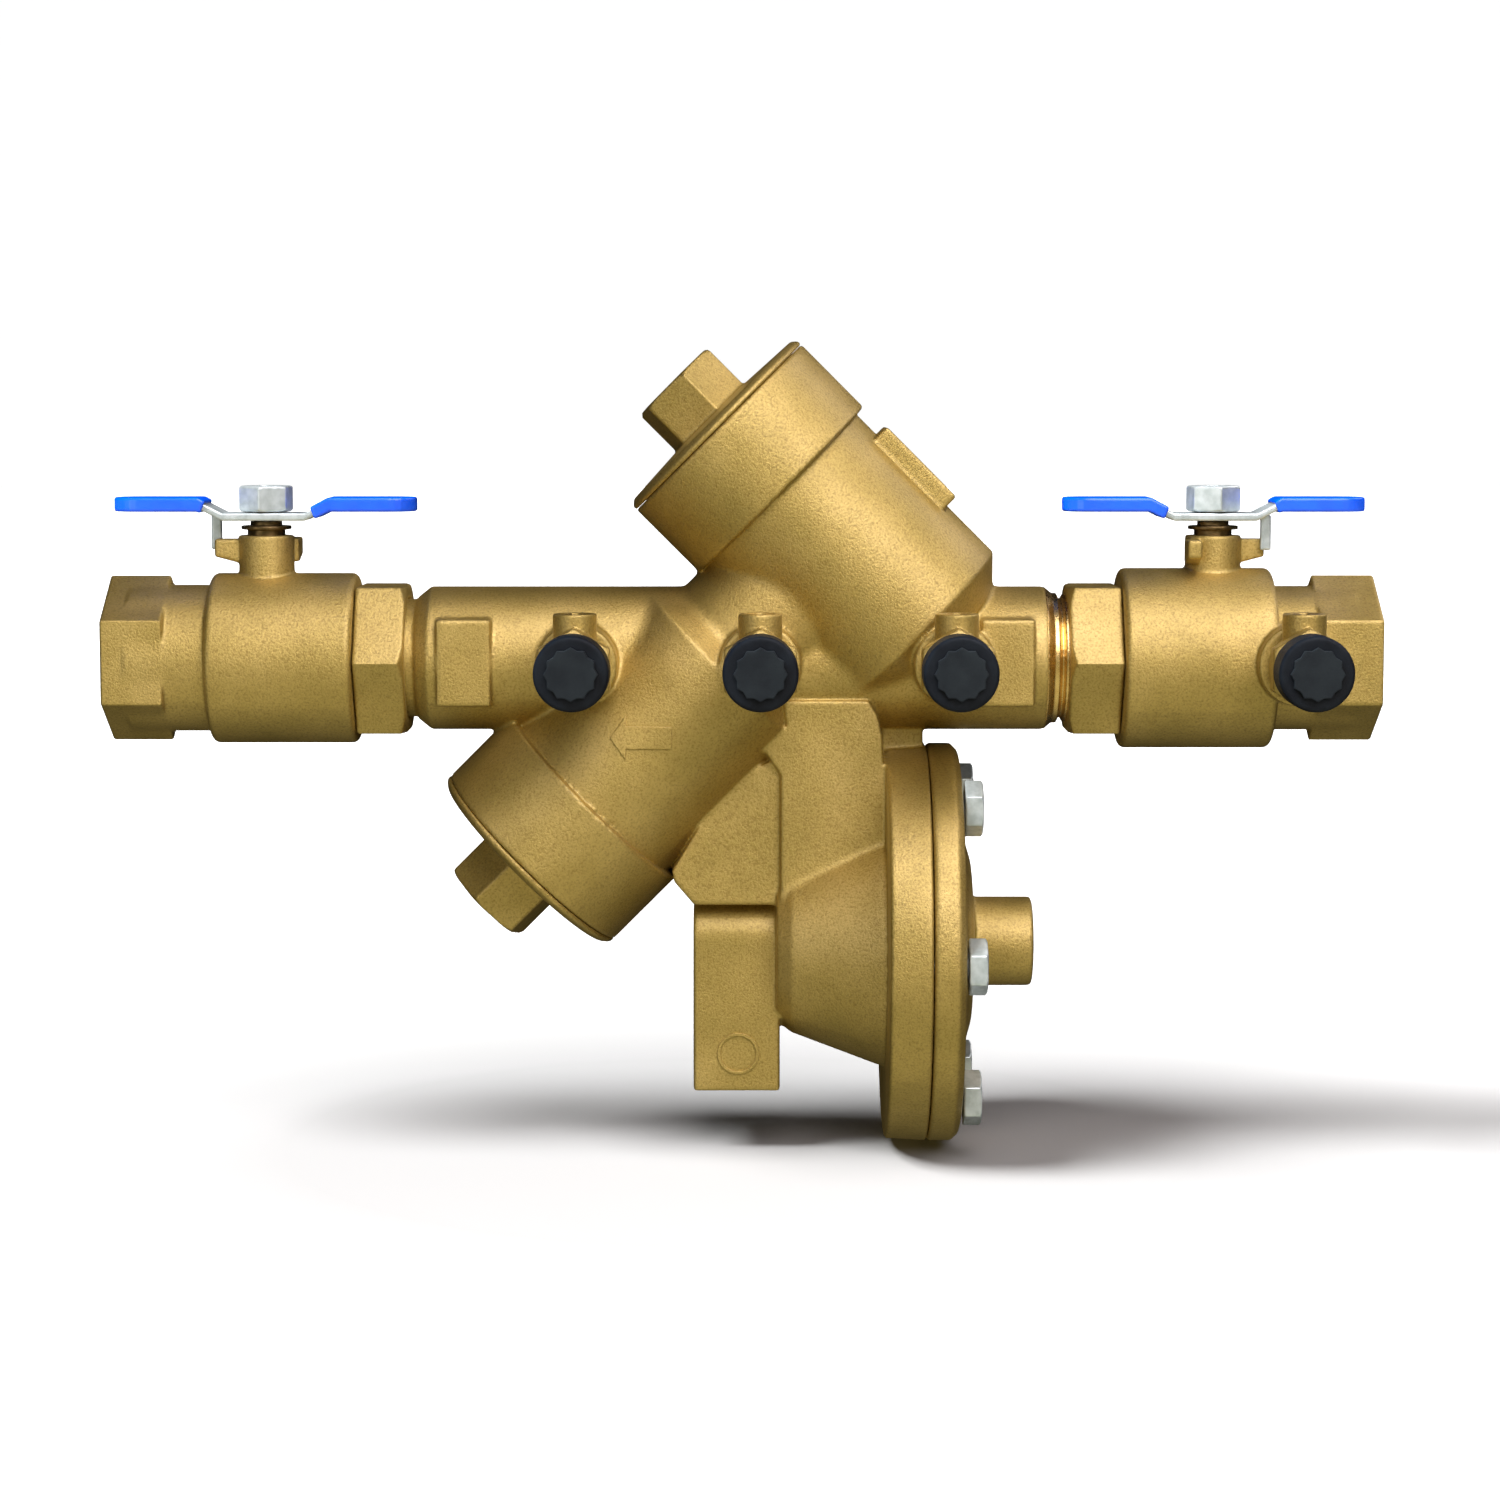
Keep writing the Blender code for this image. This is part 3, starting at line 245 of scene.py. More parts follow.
class Clay:
    """Shapes blended on a regular grid; mesh() gives the surface where the distance is nought."""

    def __init__(self, low, high, step):
        self.step = step
        self.low = np.array(low, float)
        counts = np.ceil((np.array(high) - self.low) / step).astype(int) + 1
        self.axes = [(self.low[i] + step * np.arange(counts[i])).astype(np.float32) for i in range(3)]
        self.value = np.full(counts, FAR, np.float32)

    def sample(self, shape, place, margin):
        """The shape's distance over the part of the grid that it can reach."""
        distance, low, high = shape
        corners = [place @ Vector((x, y, z)) for x in (low[0], high[0]) for y in (low[1], high[1])
                   for z in (low[2], high[2])]
        window = []
        for i in range(3):
            first = min(c[i] for c in corners) - margin
            last = max(c[i] for c in corners) + margin
            window.append(slice(*np.searchsorted(self.axes[i], (first, last))))
        x, y, z = np.meshgrid(*(self.axes[i][window[i]] for i in range(3)), indexing="ij", sparse=True)
        inverse = np.array(place.inverted(), np.float32)
        local = [row[0] * x + row[1] * y + row[2] * z + row[3] for row in inverse[:3]]
        return tuple(window), distance(*local).astype(np.float32)

    def add(self, shape, place=UPRIGHT, blend=0.0):
        window, new = self.sample(shape, place, blend + 4 * self.step)
        old = self.value[window]
        if blend:
            mix = np.clip(0.5 + 0.5 * (old - new) / blend, 0, 1)
            self.value[window] = old + (new - old) * mix - blend * mix * (1 - mix)
        else:
            self.value[window] = np.minimum(old, new)

    def cut(self, shape, place=UPRIGHT, blend=0.0):
        window, new = self.sample(shape, place, blend + 4 * self.step)
        old = self.value[window]
        if blend:
            mix = np.clip(0.5 - 0.5 * (old + new) / blend, 0, 1)
            self.value[window] = old - (old + new) * mix + blend * mix * (1 - mix)
        else:
            self.value[window] = np.maximum(old, -new)

    def keep(self, shape, place=UPRIGHT):
        window, new = self.sample(shape, place, 4 * self.step)
        kept = np.full(self.value.shape, FAR, np.float32)
        kept[window] = np.maximum(self.value[window], new)
        self.value = kept

    def mesh(self, name):
        """Surface nets: one point for each cell that the surface crosses, one face for each crossed edge."""
        value, inside = self.value, self.value < 0
        shape = np.array(value.shape) - 1
        count = np.zeros(shape, np.int8)
        offsets = [(i, j, k) for i in (0, 1) for j in (0, 1) for k in (0, 1)]
        for i, j, k in offsets:
            count += inside[i:i + shape[0], j:j + shape[1], k:k + shape[2]]
        cells = np.argwhere((count > 0) & (count < 8))
        corner = {o: value[tuple((cells + o).T)].astype(float) for o in offsets}
        total = np.zeros((len(cells), 3))
        hits = np.zeros(len(cells))
        for o in offsets:
            for axis in range(3):
                if o[axis]:
                    continue
                other = tuple(1 if a == axis else o[a] for a in range(3))
                a, b = corner[o], corner[other]
                crossed = (a < 0) != (b < 0)
                t = np.where(crossed, a / np.where(crossed, a - b, 1), 0)
                total += crossed[:, None] * np.array(o)
                total[:, axis] += t
                hits += crossed
        points = (cells + total / hits[:, None]) * self.step + self.low
        number = np.full(shape, -1, np.int64)
        number[tuple(cells.T)] = np.arange(len(cells))
        return self.build(name, points, self.faces(inside, number))

    @staticmethod
    def faces(inside, number):
        quads = []
        for axis in range(3):
            u, v = (axis + 1) % 3, (axis + 2) % 3
            lower = [slice(1, -1)] * 3
            upper = [slice(1, -1)] * 3
            lower[axis], upper[axis] = slice(0, -1), slice(1, None)
            a, b = inside[tuple(lower)], inside[tuple(upper)]
            edge = np.argwhere(a != b)
            flip = a[tuple(edge.T)]
            base = edge + [0 if i == axis else 1 for i in range(3)]
            ring = []
            for du, dv in ((-1, -1), (0, -1), (0, 0), (-1, 0)):
                cell = base.copy()
                cell[:, u] += du
                cell[:, v] += dv
                ring.append(number[tuple(cell.T)])
            quad = np.stack(ring, axis=1)
            quad[~flip] = quad[~flip][:, ::-1]
            quads.append(quad)
        return np.concatenate(quads)

    @staticmethod
    def build(name, points, quads):
        world = (points * MM + np.array(CENTRE)).astype(np.float32)
        mesh = bpy.data.meshes.new(name)
        mesh.vertices.add(len(world))
        mesh.vertices.foreach_set("co", world.ravel())
        mesh.loops.add(quads.size)
        mesh.loops.foreach_set("vertex_index", quads.ravel().astype(np.int32))
        mesh.polygons.add(len(quads))
        mesh.polygons.foreach_set("loop_start", np.arange(0, quads.size, 4, dtype=np.int32))
        mesh.update(calc_edges=True)
        mesh.shade_smooth()
        return mesh


# ---------------------------------------------------------------- materials

def material(name):
    made = bpy.data.materials.new(name)
    made.use_nodes = True
    tree = made.node_tree
    return made, tree, tree.nodes["Principled BSDF"]


def noise(tree, scale, detail=2.0, rough=0.5):
    coordinates = tree.nodes.new("ShaderNodeTexCoord")
    node = tree.nodes.new("ShaderNodeTexNoise")
    node.inputs["Scale"].default_value = scale
    node.inputs["Detail"].default_value = detail
    node.inputs["Roughness"].default_value = rough
    tree.links.new(coordinates.outputs["Object"], node.inputs["Vector"])
    return node


def ramp(tree, source, stops):
    node = tree.nodes.new("ShaderNodeValToRGB")
    elements = node.color_ramp.elements
    while len(elements) < len(stops):
        elements.new(0.5)
    for element, (position, colour) in zip(elements, stops):
        element.position = position
        element.color = (*colour, 1.0)
    tree.links.new(source, node.inputs["Fac"])
    return node


def spread(tree, source, low, high):
    """Map a 0 to 1 texture onto low to high."""
    node = tree.nodes.new("ShaderNodeMapRange")
    node.inputs["From Min"].default_value = 0.3
    node.inputs["From Max"].default_value = 0.7
    node.inputs["To Min"].default_value = low
    node.inputs["To Max"].default_value = high
    tree.links.new(source, node.inputs["Value"])
    return node


def bump(tree, shader, sources, distance):
    """Chain of bumps, each (height output, strength)."""
    last = None
    for height, strength in sources:
        node = tree.nodes.new("ShaderNodeBump")
        node.inputs["Distance"].default_value = distance
        node.inputs["Strength"].default_value = strength
        tree.links.new(height, node.inputs["Height"])
        if last:
            tree.links.new(last.outputs["Normal"], node.inputs["Normal"])
        last = node
    tree.links.new(last.outputs["Normal"], shader.inputs["Normal"])


def multiply(tree, first, second, amount=1.0):
    node = tree.nodes.new("ShaderNodeMix")
    node.data_type = "RGBA"
    node.blend_type = "MULTIPLY"
    node.inputs["Factor"].default_value = amount
    tree.links.new(first, node.inputs["A"])
    tree.links.new(second, node.inputs["B"])
    return node.outputs["Result"]


def mottle(tree, shader, scale, detail, dark, light):
    """A base colour that drifts between two tones."""
    tone = ramp(tree, noise(tree, scale, detail).outputs["Fac"], [(0.35, dark), (0.65, light)])
    tree.links.new(tone.outputs["Color"], shader.inputs["Base Color"])


def roughen(tree, shader, source, low, high):
    tree.links.new(spread(tree, source, low, high).outputs["Result"], shader.inputs["Roughness"])


def cast_brass(name="sand_cast_brass"):
    """Sand-cast brass: broad tone changes, a fine grain in colour and surface, darker in the pits."""
    made, tree, shader = material(name)
    broad = ramp(tree, noise(tree, 55.0, 3.0).outputs["Fac"],
                 [(0.3, (0.50, 0.375, 0.100)), (0.5, (0.58, 0.435, 0.130)), (0.7, (0.66, 0.50, 0.170))])
    grain = noise(tree, 1700.0, 3.0, 0.65)
    pits = ramp(tree, grain.outputs["Fac"],
                [(0.30, (0.68, 0.64, 0.52)), (0.50, (0.94, 0.93, 0.90)), (0.68, (1.0, 1.0, 1.0))])
    tree.links.new(multiply(tree, broad.outputs["Color"], pits.outputs["Color"]), shader.inputs["Base Color"])
    roughen(tree, shader, grain.outputs["Fac"], 0.66, 0.52)
    shader.inputs["Metallic"].default_value = 1.0
    shader.inputs["Coat Weight"].default_value = 0.8
    shader.inputs["Coat Roughness"].default_value = 0.45
    lumps = noise(tree, 620.0)
    bump(tree, shader, [(lumps.outputs["Fac"], 0.35), (grain.outputs["Fac"], 0.85)], 0.00022)
    return made


def machined_brass():
    """Turned brass: brighter, with faint tool marks."""
    made, tree, shader = material("machined_brass")
    mottle(tree, shader, 240.0, 3.0, (0.70, 0.47, 0.17), (0.84, 0.62, 0.27))
    fine = noise(tree, 2600.0)
    roughen(tree, shader, fine.outputs["Fac"], 0.24, 0.34)
    shader.inputs["Metallic"].default_value = 1.0
    bump(tree, shader, [(fine.outputs["Fac"], 0.18)], 0.0001)
    return made


def zinc():
    """Zinc plating, off white, slightly mottled."""
    made, tree, shader = material("zinc_plating")
    mottle(tree, shader, 380.0, 4.0, (0.42, 0.48, 0.49), (0.58, 0.64, 0.66))
    fine = noise(tree, 1900.0, 3.0)
    roughen(tree, shader, fine.outputs["Fac"], 0.30, 0.44)
    shader.inputs["Metallic"].default_value = 0.7
    bump(tree, shader, [(fine.outputs["Fac"], 0.15)], 0.0001)
    return made


def steel():
    made, tree, shader = material("stainless_steel")
    mottle(tree, shader, 300.0, 3.0, (0.50, 0.50, 0.49), (0.64, 0.64, 0.62))
    fine = noise(tree, 2200.0)
    roughen(tree, shader, fine.outputs["Fac"], 0.18, 0.30)
    shader.inputs["Metallic"].default_value = 1.0
    return made


def plastic(name, dark, light, roughness, grain, depth, coat=0.0, shine=0.5):
    """Moulded or dipped plastic with a faint surface."""
    made, tree, shader = material(name)
    mottle(tree, shader, 160.0, 3.0, dark, light)
    fine = noise(tree, grain)
    roughen(tree, shader, fine.outputs["Fac"], *roughness)
    shader.inputs["Coat Weight"].default_value = coat
    shader.inputs["Specular IOR Level"].default_value = shine
    bump(tree, shader, [(fine.outputs["Fac"], depth)], 0.0001)
    return made


def dark_brass():
    """Brass gone dark with grease, on the glands and stems."""
    made, tree, shader = material("dark_brass")
    mottle(tree, shader, 500.0, 3.0, (0.10, 0.07, 0.03), (0.22, 0.15, 0.07))
    fine = noise(tree, 2200.0)
    roughen(tree, shader, fine.outputs["Fac"], 0.35, 0.5)
    shader.inputs["Metallic"].default_value = 1.0
    bump(tree, shader, [(fine.outputs["Fac"], 0.2)], 0.0001)
    return made


FINISH = {
    "cast_brass": cast_brass(),
    "machined_brass": machined_brass(),
    "plated_steel": zinc(),
    "stainless_steel": steel(),
    "blue_vinyl": plastic("blue_vinyl", (0.0, 0.058, 0.55), (0.0, 0.072, 0.63),
                          (0.30, 0.38), 900.0, 0.08, coat=0.25),
    "black_plastic": plastic("black_plastic", (0.002, 0.003, 0.005), (0.004, 0.006, 0.009),
                             (0.50, 0.62), 1500.0, 0.25, shine=0.16),
    "grey_plastic": plastic("knob_plastic", (0.006, 0.008, 0.010), (0.009, 0.012, 0.014),
                            (0.55, 0.66), 1500.0, 0.25, shine=0.12),
    "black_rubber": plastic("black_rubber", (0.012, 0.012, 0.012), (0.022, 0.022, 0.022),
                            (0.60, 0.75), 1200.0, 0.30),
    "white_plastic": plastic("white_plastic", (0.76, 0.76, 0.70), (0.84, 0.84, 0.80),
                             (0.42, 0.52), 1100.0, 0.10),
    "dark_brass": dark_brass(),
    "cock_brass": cast_brass("cock_brass"),
}


# ---------------------------------------------------------------- pieces

BODY_OF = {node: body for body, nodes in frame["record"]["behaviour"]["bodies"].items() for node in nodes}
SLOT_OF = {row["node"]: row["material_slot"] for row in frame["record"]["subparts"]}


def piece(name, mesh, node, finish=None, stands_in=True):
    """Put a mesh in the scene in place of a CAD node, riding on that node's body."""
    obj = bpy.data.objects.new(name, mesh)
    bpy.context.scene.collection.objects.link(obj)
    mesh.materials.clear()
    mesh.materials.append(FINISH[finish or SLOT_OF[node]])
    if stands_in:
        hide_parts(node)
    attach(obj, BODY_OF[node])
    return obj


def clay_for(node, step, margin=2.0):
    """A grid over a CAD node's box."""
    low, high = node_box(node)
    return Clay([v - margin for v in low], [v + margin for v in high], step)


GAP = 0.3
PIPE_R = 18.7
SPIGOT_R = 15.4
BORE_R = 12.7
INLET_PIPE_END = 80.8
OUTLET_PIPE_END = -84.5
BARREL_R = 27.7
COLLAR_R = 30.3
COCK_BOSS_R = 10.4
COCK_BOSS_END = 28.0
CASTING_COCKS = ("testcock_2", "testcock_3", "testcock_4")
NECK_R = 22.0
WEB_HALF_WIDTH = 17.5
LOW_WEB_HALF_WIDTH = 15.0
VENT_HALF_WIDTH = 13.0
FLANGE_R = (node_box("relief_cover")[1].z - node_box("relief_cover")[0].z) / 2
FLANGE_FACE = node_box("relief_cover")[0].x - GAP
FILLET = 1.4
INLET_SPIGOT_END = 93.5
OUTLET_SPIGOT_END = -95.9
VENT_TOP = -63.3
VENT_BOTTOM = -112.6
VENT_SHOULDER_R = 9.0
VENT_X = (-12.65, 9.87)


def pipe_profiles():
    """The pipe run and its two spigots; the inlet one is thinner, to carry sculpt_spigot's turned shell."""
    end = INLET_PIPE_END
    tip, under_shell = INLET_SPIGOT_END - GAP, SPIGOT_R - GAP
    inlet = [(0, tip), (under_shell, tip), (under_shell, end), (16.6, end), (PIPE_R, end - 2.2),
             (PIPE_R, 0.0), (0, 0.0)]
    end = OUTLET_PIPE_END
    outlet = [(0, -4.0), (PIPE_R, -4.0), (PIPE_R, end + 3.4), (16.0, end), (SPIGOT_R, end - 0.2),
              (SPIGOT_R, OUTLET_SPIGOT_END), (0, OUTLET_SPIGOT_END)]
    return inlet, outlet


def sculpt_spigot():
    """The turned end of the casting that shows before the inlet adapter, with its two ridges."""
    end = INLET_PIPE_END
    half = 20.0
    clay = Clay([end - 4.0, -half, -half], [INLET_SPIGOT_END + 2.0, half, half], 0.3)
    profile = [(SPIGOT_R, INLET_SPIGOT_END), (SPIGOT_R, end + 4.4), (16.7, end + 3.9), (16.7, end + 2.9),
               (15.6, end + 2.4), (15.6, end + 1.8), (17.0, end + 1.2), (17.0, end), (18.75, end - 2.1),
               (14.6, end - 2.1), (14.6, INLET_SPIGOT_END)]
    clay.add(turned(profile, 0.1), PIPE)
    return clay.mesh("spigot_fine")


def barrel_profile(check):
    size = CHECKS[check]
    low, collar, top = size["barrel"], size["collar"], size["top"]
    return [(0, top), (COLLAR_R, top), (COLLAR_R, collar), (BARREL_R, collar), (BARREL_R, low),
            (BARREL_R - 7.0, low - 7.0), (0, low - 7.0)]


def sculpt_casting():
    """The main casting, outside and in, with a cast fillet wherever two shapes meet."""
    clay = clay_for("main_casting", 0.65)
    inlet, outlet = pipe_profiles()
    clay.add(turned(inlet, 0.3), PIPE)
    clay.add(turned(outlet, 0.3), PIPE)
    clay.add(rod(NECK_R, -38.0, 3.0), check_frame("check_2"), 0.8)
    for check in CHECKS:
        clay.add(turned(barrel_profile(check), 0.35), check_frame(check), FILLET)
    web = [(10.0, -62.0), (36.6, -62.0), (36.6, -24.7), (36.2, -18.9), (35.0, -13.8), (32.6, -9.8),
           (10.5, -9.8), (11.6, -16.4), (5.6, -22.5), (10.0, -29.0)]
    low_web = [(11.0, VENT_TOP), (11.0, -24.0), (-4.0, -31.0), (-18.1, -54.4), (-17.6, -57.2),
               (-12.4, VENT_TOP)]
    clay.add(prism(low_web, LOW_WEB_HALF_WIDTH, 0.4), FRONT, 0.8)
    clay.add(prism(web, WEB_HALF_WIDTH, 0.4), FRONT, 0.8)
    cone = [(0, FLANGE_FACE), (FLANGE_R, FLANGE_FACE), (FLANGE_R - 0.6, 37.3), (32.9, 37.3), (32.4, 35.3),
            (24.0, 12.9), (21.0, 9.0), (0, 9.0)]
    clay.add(turned(cone, 0.5), RELIEF, 1.2)
    vent_middle, vent_half = (VENT_X[0] + VENT_X[1]) / 2, (VENT_X[1] - VENT_X[0]) / 2
    clay.add(prism(vent_outline(), vent_half, 0.5), PIPE @ Matrix.Translation((0, 0, vent_middle)), 1.0)
    clay.add(box((35.0, -6.0, -30.0), (47.2, 6.0, -12.0), 0.6), UPRIGHT, 1.0)
    add_pads(clay)
    for cock in CASTING_COCKS:
        clay.add(rod(COCK_BOSS_R, 8.0, COCK_BOSS_END, 0.5), cock_frame(cock), 1.2)
    hollow_casting(clay)
    return clay.mesh("main_casting_fine")


def vent_outline():
    """The vent column from the side, as heights and half widths, with its top rounded back on both faces."""
    height, across, steps = VENT_TOP - VENT_SHOULDER_R, VENT_HALF_WIDTH - VENT_SHOULDER_R, 8
    front = [(VENT_BOTTOM, VENT_HALF_WIDTH)]
    for i in range(steps + 1):
        angle = math.pi / 2 * i / steps
        front.append((height + VENT_SHOULDER_R * math.sin(angle), across + VENT_SHOULDER_R * math.cos(angle)))
    return front + [(height, -width) for height, width in reversed(front)]


def add_pads(clay):
    """The flat pads on both faces of the pipe run, and the one on the upper barrel."""
    for low, high in ((-78.5, -64.6), (61.5, 75.2)):
        clay.add(box((low, -19.5, -11.2), (high, 19.5, 11.2), 0.5), UPRIGHT, 0.5)
    clay.add(box((20.0, -10.3, 29.0), (30.9, 10.3, 54.5), 0.5), check_frame("check_1"), 0.6)


def hollow_cock(clay, cock):
    """The socket for a test cock's body and the passage behind it."""
    hole = [(0, 33.0), (4.8, 33.0), (4.8, 17.0), (2.5, 17.0), (2.5, 7.0), (0, 7.0)]
    clay.cut(turned(hole), cock_frame(cock))


def hollow_casting(clay):
    """The water way, both check chambers, the relief chamber with its passages, and the vent."""
    clay.cut(rod(BORE_R, 52.0, 100.0), PIPE)
    clay.cut(rod(BORE_R, -100.0, -26.5), PIPE)
    clay.cut(ball(15.0), Matrix.Translation((-2.6, 0, 0)))
    clay.cut(rod(10.0, 0.0, 25.0), frame_along((0, 0, 2), (22, 0, 12), (0, 1, 0)))
    clay.cut(rod(7.0, 0.0, 60.0), frame_along((6, 0, -2), (18, 0, -58), (0, 1, 0)))
    for check, size in CHECKS.items():
        top = size["top"]
        cavity = [(0, top + 5), (26.7, top + 5), (26.7, top - 12.0), (22.5, top - 12.0), (22.5, 18.0),
                  (17.3, 18.0), (17.3, 13.7), (13.0, 13.7), (13.0, -2.0), (0, -2.0)]
        clay.cut(turned(cavity), check_frame(check))
    chamber = [(0, 55.0), (39.0, 55.0), (39.0, 46.8), (34.0, 46.8), (34.0, 40.0), (27.0, 40.0), (27.0, 29.0),
               (20.0, 29.0), (20.0, 15.0), (13.3, 15.0), (13.3, 10.0), (10.0, 10.0), (10.0, 0.0), (0, 0.0)]
    clay.cut(turned(chamber), RELIEF)
    clay.cut(box((-9.35, -9.7, -118.0), (6.57, 9.7, -70.0), 0.8), UPRIGHT)
    for cock in CASTING_COCKS:
        hollow_cock(clay, cock)


def sculpt_cover(check):
    top, end = CHECKS[check]["top"], CHECKS[check]["hex_end"]
    clay = clay_for(check + "_cover", 0.55)
    place = check_frame(check)
    lip = top + 2.5
    clay.add(turned([(0, lip + 1.2), (12.0, lip + 0.9), (COLLAR_R - 1.5, lip), (COLLAR_R, lip - 1.3),
                     (COLLAR_R, top + 0.1), (26.4, top + 0.1), (26.4, top - 7.5), (24.2, top - 7.5),
                     (24.2, top - 11.5), (8.0, top - 11.5), (8.0, top - 24.0), (0, top - 24.0)], 0.3), place)
    clay.add(hexagon(22.5, top - 1.0, end, math.radians(14), 0.4, (False, True)), place, 0.6)
    clay.cut(rod(4.4, top - 30.0, top - 3.0), place)
    return clay.mesh(check + "_cover_fine")


def sculpt_relief_cover():
    face = FLANGE_FACE + GAP
    clay = clay_for("relief_cover", 0.7)
    profile = [(0, 60.9), (14.0, 60.6), (22.0, 59.9), (27.0, 58.4), (31.0, 56.6), (FLANGE_R, 56.5),
               (FLANGE_R, face), (34.0, face), (34.0, 53.0), (0, 53.0)]
    clay.add(turned(profile), RELIEF)
    rim = [(0, 90.0), (20.0, 90.0), (FLANGE_R - 2.0, 56.6), (FLANGE_R, 54.6), (FLANGE_R, face), (0, face)]
    clay.keep(turned(rim, 0.8), RELIEF)
    clay.add(rod(11.7, 55.0, 76.2, 1.0), RELIEF, 1.0)
    clay.cut(rod(4.4, 50.0, 70.0), RELIEF)
    for i in range(6):
        clay.cut(rod(3.3, 45.0, 60.0), bolt_place(i))
    return clay.mesh("relief_cover_fine")


def bolt_place(index):
    middle = node_middle("relief_bolt_%d" % (index + 1))
    return frame_along((0, middle.y, middle.z), (1, 0, 0), (0, 0, 1))


def sculpt_bolts():
    """Hex bolts with a chamfered head."""
    head_height = 4.7
    head = node_box("relief_bolt_1")[1].x - head_height
    for i in range(6):
        node = "relief_bolt_%d" % (i + 1)
        clay = clay_for(node, 0.35)
        clay.add(hexagon(12.7, head, head + head_height, math.pi / 6, 0.2, (False, True)), bolt_place(i))
        clay.add(rod(3.0, head - 16.0, head + 1.0, 0.3), bolt_place(i))
        piece("bolt_%d_fine" % (i + 1), clay.mesh(node + "_fine"), node)


def lug_outline():
    """A handle stop beside the neck, seen from the side."""
    return [(4.0, 25.0), (7.2, 25.0), (13.3, 26.6), (13.3, 31.2), (4.0, 31.2)]


def sculpt_valve_body(side):
    size, place = VALVES[side], valve_frame(side)
    pipe = place @ PIPE
    end = LENGTH / 2 - abs(STEM_X[side])
    clay = clay_for(side + "_valve_body", 0.5)
    neck_in = size["neck_in"]
    clay.add(rod(size["neck_r"], neck_in - 6.0, end - 6.0, 0.3), pipe)
    clay.add(rod(size["body_r"], size["body_in"], neck_in, 1.6), pipe, 0.7)
    clay.add(hexagon(37.5, size["hex_in"], end, math.pi / 6, 0.5, (False, False)), pipe, 0.6)
    clay.add(rod(7.2, 15.0, 32.1, 0.4), place, 0.7)
    for low, high, turn in ((-1.6, 2.6, 0.0), (-7.9, -4.2, -math.pi / 2)):
        facing = frame_along((0, (low + high) / 2, 0), (0, -1, 0), (1, 0, 0))
        own = place @ Matrix.Rotation(turn, 4, "Z") @ facing
        clay.add(prism(lug_outline(), (high - low) / 2, 0.3), own, 0.4)
    if side == "inlet":
        clay.add(rod(COCK_BOSS_R, 8.0, COCK_BOSS_END, 0.5), cock_frame("testcock_1"), 1.0)
    bore = [(0, end + 5.0), (15.6, end + 5.0), (15.6, end - 17.0), (BORE_R, end - 17.0), (BORE_R, 13.5),
            (18.0, 13.5), (18.0, -40.0), (0, -40.0)]
    clay.cut(turned(bore), pipe)
    clay.cut(turned([(0, end + 2.0), (17.6, end + 2.0), (15.6, end - 0.2), (0, end - 0.2)]), pipe)
    stem_hole = [(0, 40.0), (5.2, 40.0), (5.2, 25.6), (3.6, 25.6), (3.6, 20.6), (6.4, 20.6), (6.4, 10.0),
                 (0, 10.0)]
    clay.cut(turned(stem_hole), place)
    if side == "inlet":
        hollow_cock(clay, "testcock_1")
    return clay.mesh(side + "_body_fine")


def sculpt_adapter(side):
    size, pipe = VALVES[side], valve_frame(side) @ PIPE
    near, far = size["body_in"] - GAP, size["adapter_in"]
    clay = clay_for(side + "_valve_adapter", 0.5)
    clay.add(hexagon(38.0, far, near, 0.0, 0.4, (True, False)), pipe)
    clay.add(rod(17.7, near - 2.0, -13.8), pipe)
    bore = [(0, 0.0), (BORE_R, 0.0), (BORE_R, far + 9.3), (15.7, far + 9.3), (15.7, far - 5.0),
            (0, far - 5.0)]
    clay.cut(turned(bore), pipe)
    clay.cut(turned([(0, far + 0.2), (15.7, far + 0.2), (17.2, far - 2.0), (0, far - 2.0)]), pipe)
    return clay.mesh(side + "_adapter_fine")


def sculpt_cocks():
    """Body, plug, cap and knob of each of the four test cocks."""
    for cock in COCK_X:
        place = cock_frame(cock)
        stem_place = Matrix.Translation((COCK_X[cock], -34.2, 0))
        body = clay_for(cock + "_body", 0.4)
        body.add(rod(8.3, COCK_BOSS_END + GAP, 40.0, 0.5), place)
        body.add(rod(5.55, -6.0, 13.7, 0.4), stem_place, 0.8)
        body.add(hexagon(18.3, 38.5, 44.7, math.pi / 6, 0.35, (False, True)), place)
        body.add(rod(4.5, 17.3, 30.0), place)
        body.add(rod(6.2, 44.0, 53.0, 0.5), place)
        body.cut(rod(2.4, 10.0, 60.0), place)
        body.cut(rod(3.6, -5.0, 20.0), stem_place)
        piece(cock + "_body_fine", body.mesh(cock + "_body_fine"), cock + "_body", "cock_brass")
        stem = clay_for(cock + "_stem", 0.3)
        stem.add(rod(3.35, -4.7, 13.6, 0.3), stem_place)
        stem.cut(box((-0.75, -5.0, 11.4), (0.75, 5.0, 20.0)), stem_place)
        stem.cut(rod(2.2, -10.0, 10.0), stem_place @ Matrix.Rotation(math.pi / 2, 4, "X"))
        piece(cock + "_stem_fine", stem.mesh(cock + "_stem_fine"), cock + "_stem")
        cap = clay_for(cock + "_cap", 0.35)
        cap.add(rod(9.45, 45.0, 56.6, 1.0), place)
        cap.cut(rod(6.5, 40.0, 53.3), place)
        piece(cock + "_cap_fine", cap.mesh(cock + "_cap_fine"), cock + "_cap")
        half = 8.0
        knob = Clay([COCK_X[cock] - half, -59.5, -half], [COCK_X[cock] + half, -55.0, half],
                    0.16)
        knob.add(prism(star_outline(12, 6.75, 6.05), 1.0, 0.08), place @ Matrix.Translation((0, 0, 57.0)))
        piece(cock + "_knob_fine", knob.mesh(cock + "_knob_fine"), cock + "_cap", "grey_plastic", False)


